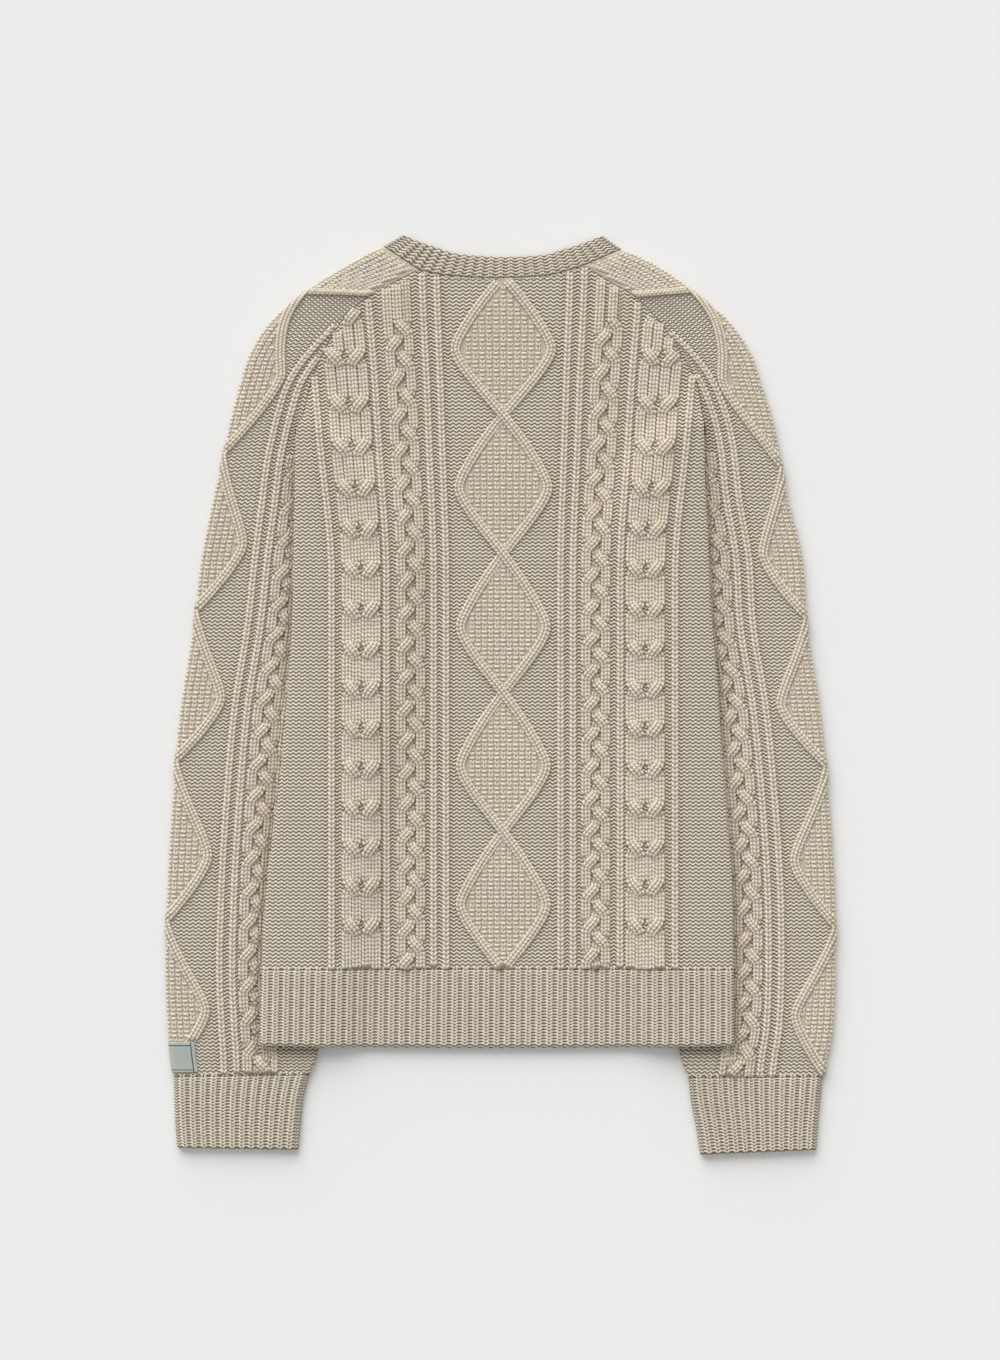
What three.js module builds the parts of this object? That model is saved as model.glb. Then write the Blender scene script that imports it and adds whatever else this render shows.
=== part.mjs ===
import * as THREE from "three";

// A cable knit sweater laid flat with its back up.
// Sizes are in millimetres. X runs to the right, Y to the neck and Z up from the surface.

const WALL = 3;
const HOLLOW = 1;
const SEAM_GAP = 0.3;
const SLEEVE_HOLLOW = 2;
const TUCKED_HOLLOW = 0.6;
const LIFT = 2 * WALL + TUCKED_HOLLOW + 0.6;
const LIFT_REACH = 40;
const LIFT_AHEAD = 15;
const BODY_CENTRE = 2.5;
const HEM_SEAM = -233.7;
const HEM_END = -300;
const UNDERARM = 219.3;
const ROUND_EDGE = 5;

const RIB_HEIGHT = 1.6;
const LINE_HEIGHT = 2.6;
const LINE_HALF_WIDTH = 4.2;
const CABLE_HEIGHT = 2.4;
const DIAMOND_HALF_WIDTH = 37.4;
const DIAMOND_LENGTH = 118.1;
const DIAMOND_START = 1.7;
const SLEEVE_DIAMOND_HALF_WIDTH = 31.5;
const PLAIT_CENTRE = 79.2;
const PLAIT_SWING = 7.8;
const PLAIT_CYCLE = 82.2;
const PLAIT_HALF_WIDTH = 12.8;
const HORSESHOE_CENTRE = 121.6;
const HORSESHOE_HALF_WIDTH = 17;
const HORSESHOE_PERIOD = 33.76;

// The side folds of the body.
const SIDES = [
  { y: 240, left: -174, right: 173 },
  { y: 180, left: -174.5, right: 174 },
  { y: 137, left: -175.5, right: 176.5 },
  { y: 76, left: -176.5, right: 179 },
  { y: 16, left: -180, right: 184 },
  { y: -55, left: -185.5, right: 188.5 },
  { y: -110, left: -192, right: 193 },
  { y: -157, left: -198, right: 197 },
  { y: -212, left: -202, right: 198 },
  { y: -252, left: -203.5, right: 198.5 },
  { y: -300, left: -204.5, right: 198.5 },
];

// Each sleeve from the neck to the cuff: its outer fold, its edge on the back, its edge on the
// front, and how far the first rib lies from the fold.
const LEFT_SLEEVE = [
  { foldX: -99.9, foldY: 381.7, backX: -69.3, backY: 361.3, frontX: -77.8, frontY: 344.3, rib: 72 },
  { foldX: -132.2, foldY: 363.8, backX: -89.7, backY: 351.5, frontX: -97, frontY: 337, rib: 70 },
  { foldX: -163.6, foldY: 344.3, backX: -109.2, backY: 340.9, frontX: -114, frontY: 328, rib: 67 },
  { foldX: -193.4, foldY: 318.8, backX: -133.9, backY: 318.8, frontX: -135, frontY: 312, rib: 59 },
  { foldX: -211.7, foldY: 291.6, backX: -150, backY: 291.6, frontX: -150, frontY: 288, rib: 50 },
  { foldX: -221, foldY: 263.5, backX: -160.7, backY: 266, frontX: -160.7, frontY: 264, rib: 41 },
  { foldX: -227.8, foldY: 238, backX: -167, backY: 238.9, frontX: -167, frontY: 238, rib: 38.8 },
  { foldX: -232.5, foldY: 216.8, backX: -173.4, backY: 219.3, frontX: -173.4, frontY: 219.3, rib: 38.6 },
  { foldX: -237.6, foldY: 193, backX: -151.7, backY: 198, frontX: -151.7, frontY: 198, rib: 39.1 },
  { foldX: -244.4, foldY: 162.4, backX: -126.2, backY: 165.8, frontX: -126.2, frontY: 165.8, rib: 42 },
  { foldX: -253.7, foldY: 114.8, backX: -105.8, backY: 114.8, frontX: -105.8, frontY: 114.8, rib: 45 },
  { foldX: -260.5, foldY: 57, backX: -103.3, backY: 57, frontX: -103.3, frontY: 57, rib: 45.6 },
  { foldX: -271.6, foldY: -14.5, backX: -111, backY: -14.5, frontX: -111, frontY: -14.5, rib: 45.6 },
  { foldX: -278.4, foldY: -94.4, backX: -125.4, backY: -94.4, frontX: -125.4, frontY: -94.4, rib: 45.6 },
  { foldX: -282.6, foldY: -165.8, backX: -138.1, backY: -165.8, frontX: -138.1, frontY: -165.8, rib: 45.6 },
  { foldX: -284.3, foldY: -233.8, backX: -148.3, backY: -233.8, frontX: -148.3, frontY: -233.8, rib: 45.6 },
  { foldX: -282.6, foldY: -280.5, backX: -152.6, backY: -280.5, frontX: -152.6, frontY: -280.5, rib: 45.6 },
  { foldX: -280.5, foldY: -306, backX: -155.6, backY: -306, frontX: -155.6, frontY: -306, rib: 45 },
  { foldX: -278, foldY: -324.7, backX: -162.8, backY: -323, frontX: -162.8, frontY: -323, rib: 43 },
];

const RIGHT_SLEEVE = [
  { foldX: 103.3, foldY: 379.1, backX: 71.8, backY: 365.5, frontX: 81.2, frontY: 347.7, rib: 72 },
  { foldX: 133.9, foldY: 363.8, backX: 92.2, backY: 351.9, frontX: 99, frontY: 338, rib: 70 },
  { foldX: 161.9, foldY: 344.3, backX: 113.5, backY: 339.2, frontX: 117, frontY: 328, rib: 67 },
  { foldX: 192.5, foldY: 318.8, backX: 135.6, backY: 317, frontX: 136.5, frontY: 311, rib: 59 },
  { foldX: 211.7, foldY: 291.6, backX: 152.6, backY: 291.6, frontX: 152.6, frontY: 288, rib: 50 },
  { foldX: 221.4, foldY: 263.5, backX: 166.2, backY: 266.9, frontX: 166.2, frontY: 264, rib: 41 },
  { foldX: 229.9, foldY: 238, backX: 170.6, backY: 240.6, frontX: 170.6, frontY: 239, rib: 38.8 },
  { foldX: 235, foldY: 216.8, backX: 173, backY: 219.3, frontX: 173, frontY: 219.3, rib: 38.6 },
  { foldX: 238.9, foldY: 193, backX: 150.9, backY: 198, frontX: 150.9, frontY: 198, rib: 39.1 },
  { foldX: 245.2, foldY: 162.4, backX: 127.1, backY: 165.8, frontX: 127.1, frontY: 165.8, rib: 42 },
  { foldX: 256.3, foldY: 114.8, backX: 109.2, backY: 114.8, frontX: 109.2, frontY: 114.8, rib: 45 },
  { foldX: 260.5, foldY: 57, backX: 107.5, backY: 57, frontX: 107.5, frontY: 57, rib: 45.6 },
  { foldX: 271.6, foldY: -14.5, backX: 115.2, backY: -14.5, frontX: 115.2, frontY: -14.5, rib: 45.6 },
  { foldX: 279.2, foldY: -94.4, backX: 128.8, backY: -94.4, frontX: 128.8, frontY: -94.4, rib: 45.6 },
  { foldX: 283.5, foldY: -165.8, backX: 139, backY: -165.8, frontX: 139, frontY: -165.8, rib: 45.6 },
  { foldX: 284.3, foldY: -233.8, backX: 146.6, backY: -233.8, frontX: 146.6, frontY: -233.8, rib: 45.6 },
  { foldX: 282.6, foldY: -280.5, backX: 150, backY: -280.5, frontX: 150, frontY: -280.5, rib: 45.6 },
  { foldX: 278.4, foldY: -306, backX: 152.6, backY: -306, frontX: 152.6, frontY: -306, rib: 45 },
  { foldX: 274.1, foldY: -324.7, backX: 160.2, backY: -325.6, frontX: 160.2, frontY: -325.6, rib: 43 },
];

// The section of the sleeve tables at the underarm.
const UNDERARM_SECTION = 7;

// Where the sleeve's diamonds close on its outer fold.
const LEFT_CLOSINGS = [466, 335.8, 202.3, 72.3, -55.3, -191.3, -318];
const RIGHT_CLOSINGS = [466, 337.5, 192.1, 66.3, -59.5, -196.4, -322];

// Each cuff from its seam to its end: the outer fold and the inner fold.
const LEFT_CUFF = [
  { foldX: -278, foldY: -325.1, backX: -162.8, backY: -323.4 },
  { foldX: -277.5, foldY: -344.3, backX: -167.5, backY: -342.5 },
  { foldX: -276.7, foldY: -365.5, backX: -170, backY: -363.8 },
  { foldX: -275, foldY: -385, backX: -172, backY: -386.8 },
];
const RIGHT_CUFF = [
  { foldX: 274.1, foldY: -325.1, backX: 160.2, backY: -326 },
  { foldX: 272.4, foldY: -344.3, backX: 162.4, backY: -346.8 },
  { foldX: 270.3, foldY: -365.5, backX: 166.6, backY: -368.1 },
  { foldX: 269, foldY: -386.8, backX: 170, backY: -391 },
];

// The neck seams between the raglan seams, from left to right.
const BACK_NECK = [
  { x: -69.3, y: 361.3 },
  { x: -51.4, y: 357.3 },
  { x: -39.5, y: 356.2 },
  { x: -14.9, y: 354.5 },
  { x: 3, y: 354.5 },
  { x: 23.4, y: 355.3 },
  { x: 43.8, y: 357.3 },
  { x: 58, y: 361 },
  { x: 71.8, y: 365.5 },
];
const FRONT_NECK = [
  { x: -77.8, y: 344.3 },
  { x: -74, y: 322 },
  { x: -62, y: 298 },
  { x: -44, y: 281 },
  { x: -22, y: 271 },
  { x: 3, y: 268 },
  { x: 28, y: 271 },
  { x: 50, y: 281 },
  { x: 67, y: 298 },
  { x: 77, y: 322 },
  { x: 81.2, y: 347.7 },
];

// The collar's free edge from left to right. Its seam follows the sleeve's end for the first two
// rows and the last two, and the neck seam of the back or the front between them.
const COLLAR_BACK = [
  { x: -82.9, y: 391 },
  { x: -68.4, y: 385.5 },
  { x: -56, y: 381.5 },
  { x: -43, y: 377 },
  { x: -33, y: 375 },
  { x: -12.5, y: 373.2 },
  { x: 3, y: 372.7 },
  { x: 21.7, y: 373.2 },
  { x: 40, y: 375 },
  { x: 51, y: 378.5 },
  { x: 63, y: 382 },
  { x: 74.5, y: 386 },
  { x: 86.3, y: 390.2 },
];
const COLLAR_FRONT = [
  { x: -82.9, y: 391 },
  { x: -71, y: 371 },
  { x: -61.4, y: 354 },
  { x: -55.4, y: 325.4 },
  { x: -46.8, y: 309.4 },
  { x: -33.4, y: 296.8 },
  { x: -16.9, y: 289.3 },
  { x: 3, y: 287 },
  { x: 22.9, y: 289.3 },
  { x: 39.4, y: 296.8 },
  { x: 51.8, y: 309.4 },
  { x: 58.3, y: 325.4 },
  { x: 64.8, y: 357 },
  { x: 74.5, y: 371.5 },
  { x: 86.3, y: 390.2 },
];

const WOOL = new THREE.MeshStandardMaterial({ color: 0xcfc6b2, roughness: 0.95 });
const PATCH_CLOTH = new THREE.MeshStandardMaterial({ color: 0xb9c3be, roughness: 0.85 });

function clamp(value, low, high) {
  return Math.min(high, Math.max(low, value));
}

function smooth(value) {
  const t = clamp(value, 0, 1);
  return t * t * (3 - 2 * t);
}

function mix(a, b, t) {
  return a + (b - a) * t;
}

// Reads a column of a table between its rows as a smooth curve.
function read(table, key, at, column) {
  const falling = table[0][key] > table[table.length - 1][key];
  let row = 0;
  while (row < table.length - 2 && (falling ? table[row + 1][key] > at : table[row + 1][key] < at)) {
    row += 1;
  }
  return between(table, row, (at - table[row][key]) / (table[row + 1][key] - table[row][key]), column);
}

function between(table, row, t, column) {
  const a = table[row][column];
  const b = table[row + 1][column];
  const before = row > 0 ? table[row - 1][column] : 2 * a - b;
  const after = row < table.length - 2 ? table[row + 2][column] : 2 * b - a;
  const s = clamp(t, -0.2, 1.2);
  const slopeA = (b - before) / 2;
  const slopeB = (after - a) / 2;
  const s2 = s * s;
  const s3 = s2 * s;
  return a * (2 * s3 - 3 * s2 + 1) + slopeA * (s3 - 2 * s2 + s) + b * (3 * s2 - 2 * s3) + slopeB * (s3 - s2);
}

// One section of a table whose rows are counted from 0.
function section(table, at) {
  const row = Math.min(Math.floor(at), table.length - 2);
  const found = {};
  for (const column of Object.keys(table[0])) {
    found[column] = between(table, row, at - row, column);
  }
  return found;
}

function offsetPoint(x, y, towardX, towardY, distance) {
  const length = Math.hypot(towardX - x, towardY - y);
  return { x: x + ((towardX - x) * distance) / length, y: y + ((towardY - y) * distance) / length };
}

// A closed wall is a list of points and triangles that share them.
function newShell() {
  return { points: [], faces: [] };
}

function addPoint(shell, x, y, z, key) {
  shell.points.push([x, y, z]);
  return { id: shell.points.length - 1, x, y, z, key };
}

function addFace(shell, a, b, c) {
  if (a.id !== b.id && b.id !== c.id && a.id !== c.id) {
    shell.faces.push([a.id, b.id, c.id]);
  }
}

// Joins two lines of points, stepping along the one whose next key comes first.
function join(shell, left, right, flipped) {
  let i = 0;
  let j = 0;
  while (i < left.length - 1 || j < right.length - 1) {
    const rightDone = j === right.length - 1;
    const leftFirst = i < left.length - 1 && (rightDone || left[i + 1].key <= right[j + 1].key);
    const next = leftFirst ? left[i + 1] : right[j + 1];
    if (flipped) {
      addFace(shell, right[j], left[i], next);
    } else {
      addFace(shell, left[i], right[j], next);
    }
    if (leftFirst) {
      i += 1;
    } else {
      j += 1;
    }
  }
}

function joinAll(shell, lines, flipped) {
  for (let k = 0; k < lines.length - 1; k += 1) {
    join(shell, lines[k], lines[k + 1], flipped);
  }
}

function toMesh(shell, name, material) {
  let volume = 0;
  for (const [a, b, c] of shell.faces) {
    const [p, q, r] = [shell.points[a], shell.points[b], shell.points[c]];
    volume += p[0] * (q[1] * r[2] - q[2] * r[1]);
    volume += p[1] * (q[2] * r[0] - q[0] * r[2]);
    volume += p[2] * (q[0] * r[1] - q[1] * r[0]);
  }
  const faces = volume > 0 ? shell.faces : shell.faces.map(([a, b, c]) => [a, c, b]);
  const geometry = new THREE.BufferGeometry();
  geometry.setAttribute("position", new THREE.Float32BufferAttribute(shell.points.flat(), 3));
  geometry.setIndex(faces.flat());
  geometry.computeVertexNormals();
  const mesh = new THREE.Mesh(geometry, material);
  mesh.name = name;
  return mesh;
}

// Raglan seams, shared by the panels and the sleeves.
const SEAM_STEPS = 4;

function seamLine(table, xColumn, yColumn) {
  const points = [];
  for (let k = UNDERARM_SECTION * SEAM_STEPS; k >= 0; k -= 1) {
    const at = section(table, k / SEAM_STEPS);
    points.push({ x: at[xColumn], y: at[yColumn] });
  }
  return points;
}

function neckLine(table) {
  const points = [];
  for (let k = 1; k < (table.length - 1) * 2; k += 1) {
    const at = section(table, k / 2);
    points.push({ x: at.x, y: at.y });
  }
  return points;
}

// The panel's top border from the left underarm over the neck to the right underarm.
function topBorder(xColumn, yColumn, neck) {
  const left = seamLine(LEFT_SLEEVE, xColumn, yColumn);
  const right = seamLine(RIGHT_SLEEVE, xColumn, yColumn).reverse();
  return [...left, ...neckLine(neck), ...right];
}

const BACK_BORDER = topBorder("backX", "backY", BACK_NECK);
const FRONT_BORDER = topBorder("frontX", "frontY", FRONT_NECK);

// How the cloth of the body rises over the sleeves that are tucked under it.
function sleeveEdge(y, side) {
  const table = side < 0 ? LEFT_SLEEVE : RIGHT_SLEEVE;
  const hidden = table.slice(UNDERARM_SECTION);
  return Math.abs(read(hidden, "backY", Math.min(y, UNDERARM), "backX"));
}

function lift(x, y) {
  const side = x < 0 ? -1 : 1;
  const inside = sleeveEdge(y - LIFT_AHEAD, side) - Math.abs(x);
  const rise = smooth((UNDERARM + 46 - y) / 40);
  return LIFT * rise * (1 - smooth((inside - 9) / LIFT_REACH));
}

function sideX(y, side) {
  return read(SIDES, "y", Math.min(y, UNDERARM), side < 0 ? "left" : "right");
}

// Distance in from the side fold, large above the underarm.
function fromSide(x, y) {
  const side = x < BODY_CENTRE ? -1 : 1;
  return side * (sideX(y, side) - x);
}

// The wall's thickness, rounded off at the side folds below the underarm.
function edgeWall(x, y) {
  const inward = clamp(fromSide(x, y) / ROUND_EDGE, 0, 1);
  const rounded = 1 + (WALL - 1) * Math.sqrt(1 - (1 - inward) ** 2);
  return mix(WALL, rounded, smooth((UNDERARM + 20 - y) / 20));
}

function hollowAt(x, y) {
  const low = smooth((UNDERARM + 20 - y) / 20);
  return mix(HOLLOW, mix(SEAM_GAP, HOLLOW, smooth(fromSide(x, y) / 15)), low);
}

// The columns spread a little toward the shoulders.
function spread(y) {
  return 1 + 0.085 * smooth((y - 100) / 160);
}

// A cord's rounded crown over its own width.
function crown(offset, halfWidth) {
  const t = offset / halfWidth;
  return Math.sqrt(Math.max(0, 1 - t * t));
}

// Three strands that pass over one another, each over toward the side and under toward the middle.
function plaitHeight(offset, y, phase) {
  let height = 0;
  for (let strand = 0; strand < 3; strand += 1) {
    const angle = 2 * Math.PI * ((phase - y) / PLAIT_CYCLE + strand / 3);
    const away = offset - PLAIT_SWING * Math.sin(angle);
    const level = 0.62 + 0.38 * Math.sin(2 * angle);
    height = Math.max(height, CABLE_HEIGHT * level * crown(away, 5.6));
  }
  return height;
}

// Two outer strands that cross over the inner ones to meet in the middle, once each period.
function horseshoeHeight(offset, y, phase) {
  const part = (((phase - y) / HORSESHOE_PERIOD) % 1 + 1) % 1;
  const crossing = smooth((part - 0.5) / 0.36 + 0.5);
  const bump = Math.max(0, Math.cos(((part - 0.5) / 0.3) * Math.PI * 0.5));
  const over = 12.7 - 8.4 * crossing;
  const under = 4.3 + 8.4 * crossing;
  const side = Math.abs(offset);
  const overHeight = (0.72 + 0.28 * bump) * crown(side - over, 5);
  const underHeight = (0.72 - 0.5 * bump) * crown(side - under, 5);
  return CABLE_HEIGHT * Math.max(overHeight, underHeight, side < 16 ? 0.3 : 0);
}

// A nearly straight line out and back, rounded at its tip, from 0 to 1.
function diamondSide(turn) {
  const wave = Math.abs(Math.sin(Math.PI * turn));
  return 0.3 * wave + (0.7 * Math.asin(0.985 * wave)) / Math.asin(0.985);
}

function diamondHalf(y) {
  return DIAMOND_HALF_WIDTH * diamondSide((y - DIAMOND_START) / DIAMOND_LENGTH);
}

// Columns of the back on one side of its middle: the distance from the middle, the height over
// the ground and the spacing of the points.
function ribColumns(centre, halfWidth) {
  return [
    { at: () => centre - halfWidth, height: () => 0, step: 60 },
    { at: () => centre - halfWidth / 2, height: () => RIB_HEIGHT, step: 60 },
    { at: () => centre + halfWidth / 2, height: () => RIB_HEIGHT, step: 60 },
  ];
}

function diamondColumns() {
  const parts = [
    { offset: -1, height: 0, least: 1.5 },
    { offset: -0.45, height: LINE_HEIGHT, least: 3 },
    { offset: 0.45, height: LINE_HEIGHT, least: 4.5 },
    { offset: 1, height: 0, least: 6 },
  ];
  return parts.map((part) => ({
    at: (y) => Math.max(part.least, diamondHalf(y) + part.offset * LINE_HALF_WIDTH),
    height: () => part.height,
    step: DIAMOND_LENGTH / 12,
    phase: DIAMOND_START,
  }));
}

function plaitColumns(phase) {
  const offsets = [-PLAIT_HALF_WIDTH, -8.6, -4.3, 0, 4.3, 8.6, PLAIT_HALF_WIDTH];
  return offsets.map((offset) => ({
    at: () => PLAIT_CENTRE + offset,
    height: (y) => plaitHeight(offset, y, phase),
    step: Math.abs(offset) === PLAIT_HALF_WIDTH ? PLAIT_CYCLE / 3 : PLAIT_CYCLE / 15,
    phase,
  }));
}

function horseshoeColumns(phase) {
  const offsets = [-HORSESHOE_HALF_WIDTH, -13.6, -8.6, -3, 3, 8.6, 13.6, HORSESHOE_HALF_WIDTH];
  return offsets.map((offset) => ({
    at: () => HORSESHOE_CENTRE + offset,
    height: (y) => horseshoeHeight(offset, y, phase),
    step: Math.abs(offset) === HORSESHOE_HALF_WIDTH ? HORSESHOE_PERIOD : HORSESHOE_PERIOD / 6,
    phase,
  }));
}

const PLAIT_PHASE_LEFT = 280.3;
const PLAIT_PHASE_RIGHT = 300.2;
const HORSESHOE_PHASE = 289;

function halfColumns(side) {
  const plaitPhase = side < 0 ? PLAIT_PHASE_LEFT : PLAIT_PHASE_RIGHT;
  return [
    ...diamondColumns(),
    ...ribColumns(49.9, 4.7),
    ...ribColumns(59.7, 4.9),
    { at: () => 64.7, height: () => 0, step: 60 },
    ...plaitColumns(plaitPhase),
    ...ribColumns(98, 4.7),
    { at: () => 102.8, height: () => 0, step: 60 },
    ...horseshoeColumns(HORSESHOE_PHASE),
    ...ribColumns(145.2, 4.6),
    { at: () => 150, height: () => 0, step: 60 },
    { fromEdge: 7, height: () => 0, step: 30 },
    { fromEdge: 3, height: () => 0, step: 30 },
    { fromEdge: 1, height: () => 0, step: 30 },
    { fromEdge: 0, height: () => 0, step: 30 },
  ];
}

function columnX(column, side, y) {
  if (column.fromEdge !== undefined) {
    return sideX(y, side) - side * column.fromEdge;
  }
  return BODY_CENTRE + side * column.at(y) * spread(y);
}

function borderHeight(border, x) {
  for (let k = 0; k < border.length - 1; k += 1) {
    const a = border[k];
    const b = border[k + 1];
    if (x >= a.x && x < b.x) {
      return { y: mix(a.y, b.y, (x - a.x) / (b.x - a.x)), key: k + (x - a.x) / (b.x - a.x) };
    }
  }
  const end = x < border[0].x ? 0 : border.length - 1;
  return { y: border[end].y, key: end };
}

const BORDER_INSET = 2.4;

// The upper end of a column, just inside the panel's top border.
function columnEnd(column, side, border) {
  let low = UNDERARM - 30;
  let high = 380;
  for (let k = 0; k < 30; k += 1) {
    const y = (low + high) / 2;
    const x = columnX(column, side, y);
    if (borderHeight(border, x).y - BORDER_INSET > y) {
      low = y;
    } else {
      high = y;
    }
  }
  return low;
}

// Heights of a column's points, at whole steps from its phase and at both ends.
function stations(from, to, step, phase) {
  const list = [from];
  for (let k = Math.ceil((from - phase) / step); phase + k * step < to; k += 1) {
    const y = phase + k * step;
    if (y > from + 0.35 * step && y < to - 0.35 * step) {
      list.push(y);
    }
  }
  list.push(to);
  return list;
}

// One face of a panel: columns from the hem seam up, and the border along the top.
function panelFace(shell, columns, border, heightAt) {
  const lines = [];
  const ends = [];
  for (const { column, side } of columns) {
    const isEdge = column.fromEdge === 0;
    const corner = side < 0 ? 0 : border.length - 1;
    const top = isEdge ? UNDERARM : columnEnd(column, side, border);
    const line = [];
    for (const y of stations(HEM_SEAM + SEAM_GAP, top, column.step, column.phase || 0)) {
      const x = columnX(column, side, y);
      line.push(addPoint(shell, x, y, heightAt(x, y, column.height(y)), y));
    }
    lines.push(line);
    const last = line[line.length - 1];
    ends.push({ ...last, key: isEdge ? corner : borderHeight(border, last.x).key });
  }
  const edge = border.map(({ x, y }, k) => addPoint(shell, x, y, heightAt(x, y, 0), k));
  const [first, last] = [lines[0], lines[lines.length - 1]];
  edge[0] = ends[0];
  edge[edge.length - 1] = ends[ends.length - 1];
  ends[0] = { ...ends[0], key: 0 };
  return { lines, ends, edge, first, last };
}

function panelWall(name, upperColumns, lowerColumns, border, upperHeight, lowerHeight) {
  const shell = newShell();
  const upper = panelFace(shell, upperColumns, border, upperHeight);
  const lower = panelFace(shell, lowerColumns, border, lowerHeight);
  joinAll(shell, upper.lines, false);
  join(shell, upper.edge, upper.ends);
  joinAll(shell, lower.lines, true);
  join(shell, lower.ends, lower.edge);
  join(shell, lower.first, upper.first);
  join(shell, upper.last, lower.last);
  join(shell, byX(upper.lines), byX(lower.lines));
  join(shell, lower.edge, upper.edge);
  return toMesh(dropUnused(shell), name, WOOL);
}

function byX(lines) {
  return lines.map((line) => ({ ...line[0], key: line[0].x }));
}

// Leaves out points that no triangle uses.
function dropUnused(shell) {
  const place = new Map();
  const points = [];
  const faces = shell.faces.map((face) =>
    face.map((id) => {
      if (!place.has(id)) {
        place.set(id, points.length);
        points.push(shell.points[id]);
      }
      return place.get(id);
    }),
  );
  return { points, faces };
}

function bothSides(list) {
  const left = list(-1).map((column) => ({ column, side: -1 })).reverse();
  const right = list(1).map((column) => ({ column, side: 1 }));
  return [...left, { column: { at: () => 0, height: () => 0, step: 60 }, side: 1 }, ...right];
}

function plainColumns() {
  const places = [30, 60, 95, 120, 145];
  const columns = places.map((place) => ({ at: () => place, height: () => 0, step: 36 }));
  return [
    ...columns,
    { fromEdge: 7, height: () => 0, step: 36 },
    { fromEdge: 3, height: () => 0, step: 36 },
    { fromEdge: 0, height: () => 0, step: 36 },
  ];
}

// Relief sinks to nothing at the hem seam and along the raglan seams.
function backTop(x, y, relief) {
  const nearHem = smooth((y - HEM_SEAM) / 5);
  return WALL + hollowAt(x, y) + lift(x, y) + edgeWall(x, y) + relief * nearHem;
}

function backUnder(x, y) {
  return WALL + hollowAt(x, y) + lift(x, y);
}

function frontTop(x, y) {
  return WALL + lift(x, y);
}

function frontUnder(x, y) {
  return WALL + lift(x, y) - edgeWall(x, y);
}

function backPanel() {
  const raised = bothSides(halfColumns);
  const plain = bothSides(plainColumns);
  return panelWall("back_panel", raised, plain, BACK_BORDER, backTop, backUnder);
}

function frontPanel() {
  const plain = bothSides(plainColumns);
  return panelWall("front_panel", plain, plain, FRONT_BORDER, frontTop, frontUnder);
}

// A wall given by an outer and an inner list of columns, open between the first and the last
// column or closed all round.
function stripWall(name, outer, inner, closed, material) {
  const shell = outer.shell;
  const around = (lines) => (closed ? [...lines, lines[0]] : lines);
  joinAll(shell, around(outer.lines), false);
  joinAll(shell, around(inner.lines), true);
  if (!closed) {
    join(shell, inner.lines[0], outer.lines[0]);
    join(shell, outer.lines[outer.lines.length - 1], inner.lines[inner.lines.length - 1]);
  }
  join(shell, closeRibs(shell, rim(around(outer.lines), 0), false), rim(around(inner.lines), 0));
  join(shell, rim(around(inner.lines), -1), closeRibs(shell, rim(around(outer.lines), -1), true));
  return toMesh(dropUnused(shell), name, material);
}

// Closes off the end of each rib, and leaves the line that runs through the valleys.
function closeRibs(shell, line, flipped) {
  const kept = [];
  for (const point of line) {
    while (kept.length > 1 && kept.at(-1).raised) {
      const crest = kept.pop();
      if (flipped) {
        addFace(shell, kept.at(-1), crest, point);
      } else {
        addFace(shell, point, crest, kept.at(-1));
      }
    }
    kept.push(point);
  }
  return kept;
}

// The points at one end of all columns, in order across.
function rim(lines, place) {
  return lines.map((line, k) => {
    const point = line.at(place);
    return { ...point, key: k > 0 && line === lines[0] ? Infinity : point.across };
  });
}

// The hem ribs fan between the side folds.
function hemBottom(x) {
  return HEM_END + 2 * ((x - BODY_CENTRE) / 200) ** 2;
}

const HEM_ROWS = [0, 0.5, 1];

function hemLines(shell, places, heightAt) {
  return places.map(({ across, raised }) =>
    HEM_ROWS.map((row) => {
      const endX = mix(sideX(HEM_END, -1), sideX(HEM_END, 1), across);
      const y = mix(HEM_SEAM, hemBottom(endX), row);
      const x = mix(sideX(y, -1), sideX(y, 1), across);
      const point = addPoint(shell, x, y, heightAt(x, y) + raised, row);
      return { ...point, across: -across, raised: raised > 0 };
    }),
  );
}

const HEM_RIBS = 45;
const BAND_RIB_HEIGHT = 1.3;
const HEM_PLAIN = [0, 0.012, 0.04, 0.15, 0.25, 0.35, 0.5, 0.65, 0.75, 0.85, 0.96, 0.988, 1];

function hemPlaces() {
  const places = [0, 0.005, 0.012].map((across) => ({ across, raised: 0 }));
  for (let k = 1; k < HEM_RIBS - 1; k += 1) {
    places.push({ across: k / HEM_RIBS, raised: 0 });
    places.push({ across: (k + 0.25) / HEM_RIBS, raised: BAND_RIB_HEIGHT });
    places.push({ across: (k + 0.7) / HEM_RIBS, raised: BAND_RIB_HEIGHT });
  }
  places.push(...[0.978, 0.988, 0.995, 1].map((across) => ({ across, raised: 0 })));
  return places;
}

function plainPlaces() {
  return HEM_PLAIN.map((across) => ({ across, raised: 0 }));
}

function bandTop(x, y) {
  return WALL + hollowAt(x, y) + lift(x, y) + edgeWall(x, y);
}

function hemRib(name, places, outerHeight, innerHeight) {
  const shell = newShell();
  const outer = { shell, lines: hemLines(shell, places.reverse(), outerHeight) };
  const inner = { shell, lines: hemLines(shell, plainPlaces().reverse(), innerHeight) };
  return stripWall(name, outer, inner, false, WOOL);
}

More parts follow.
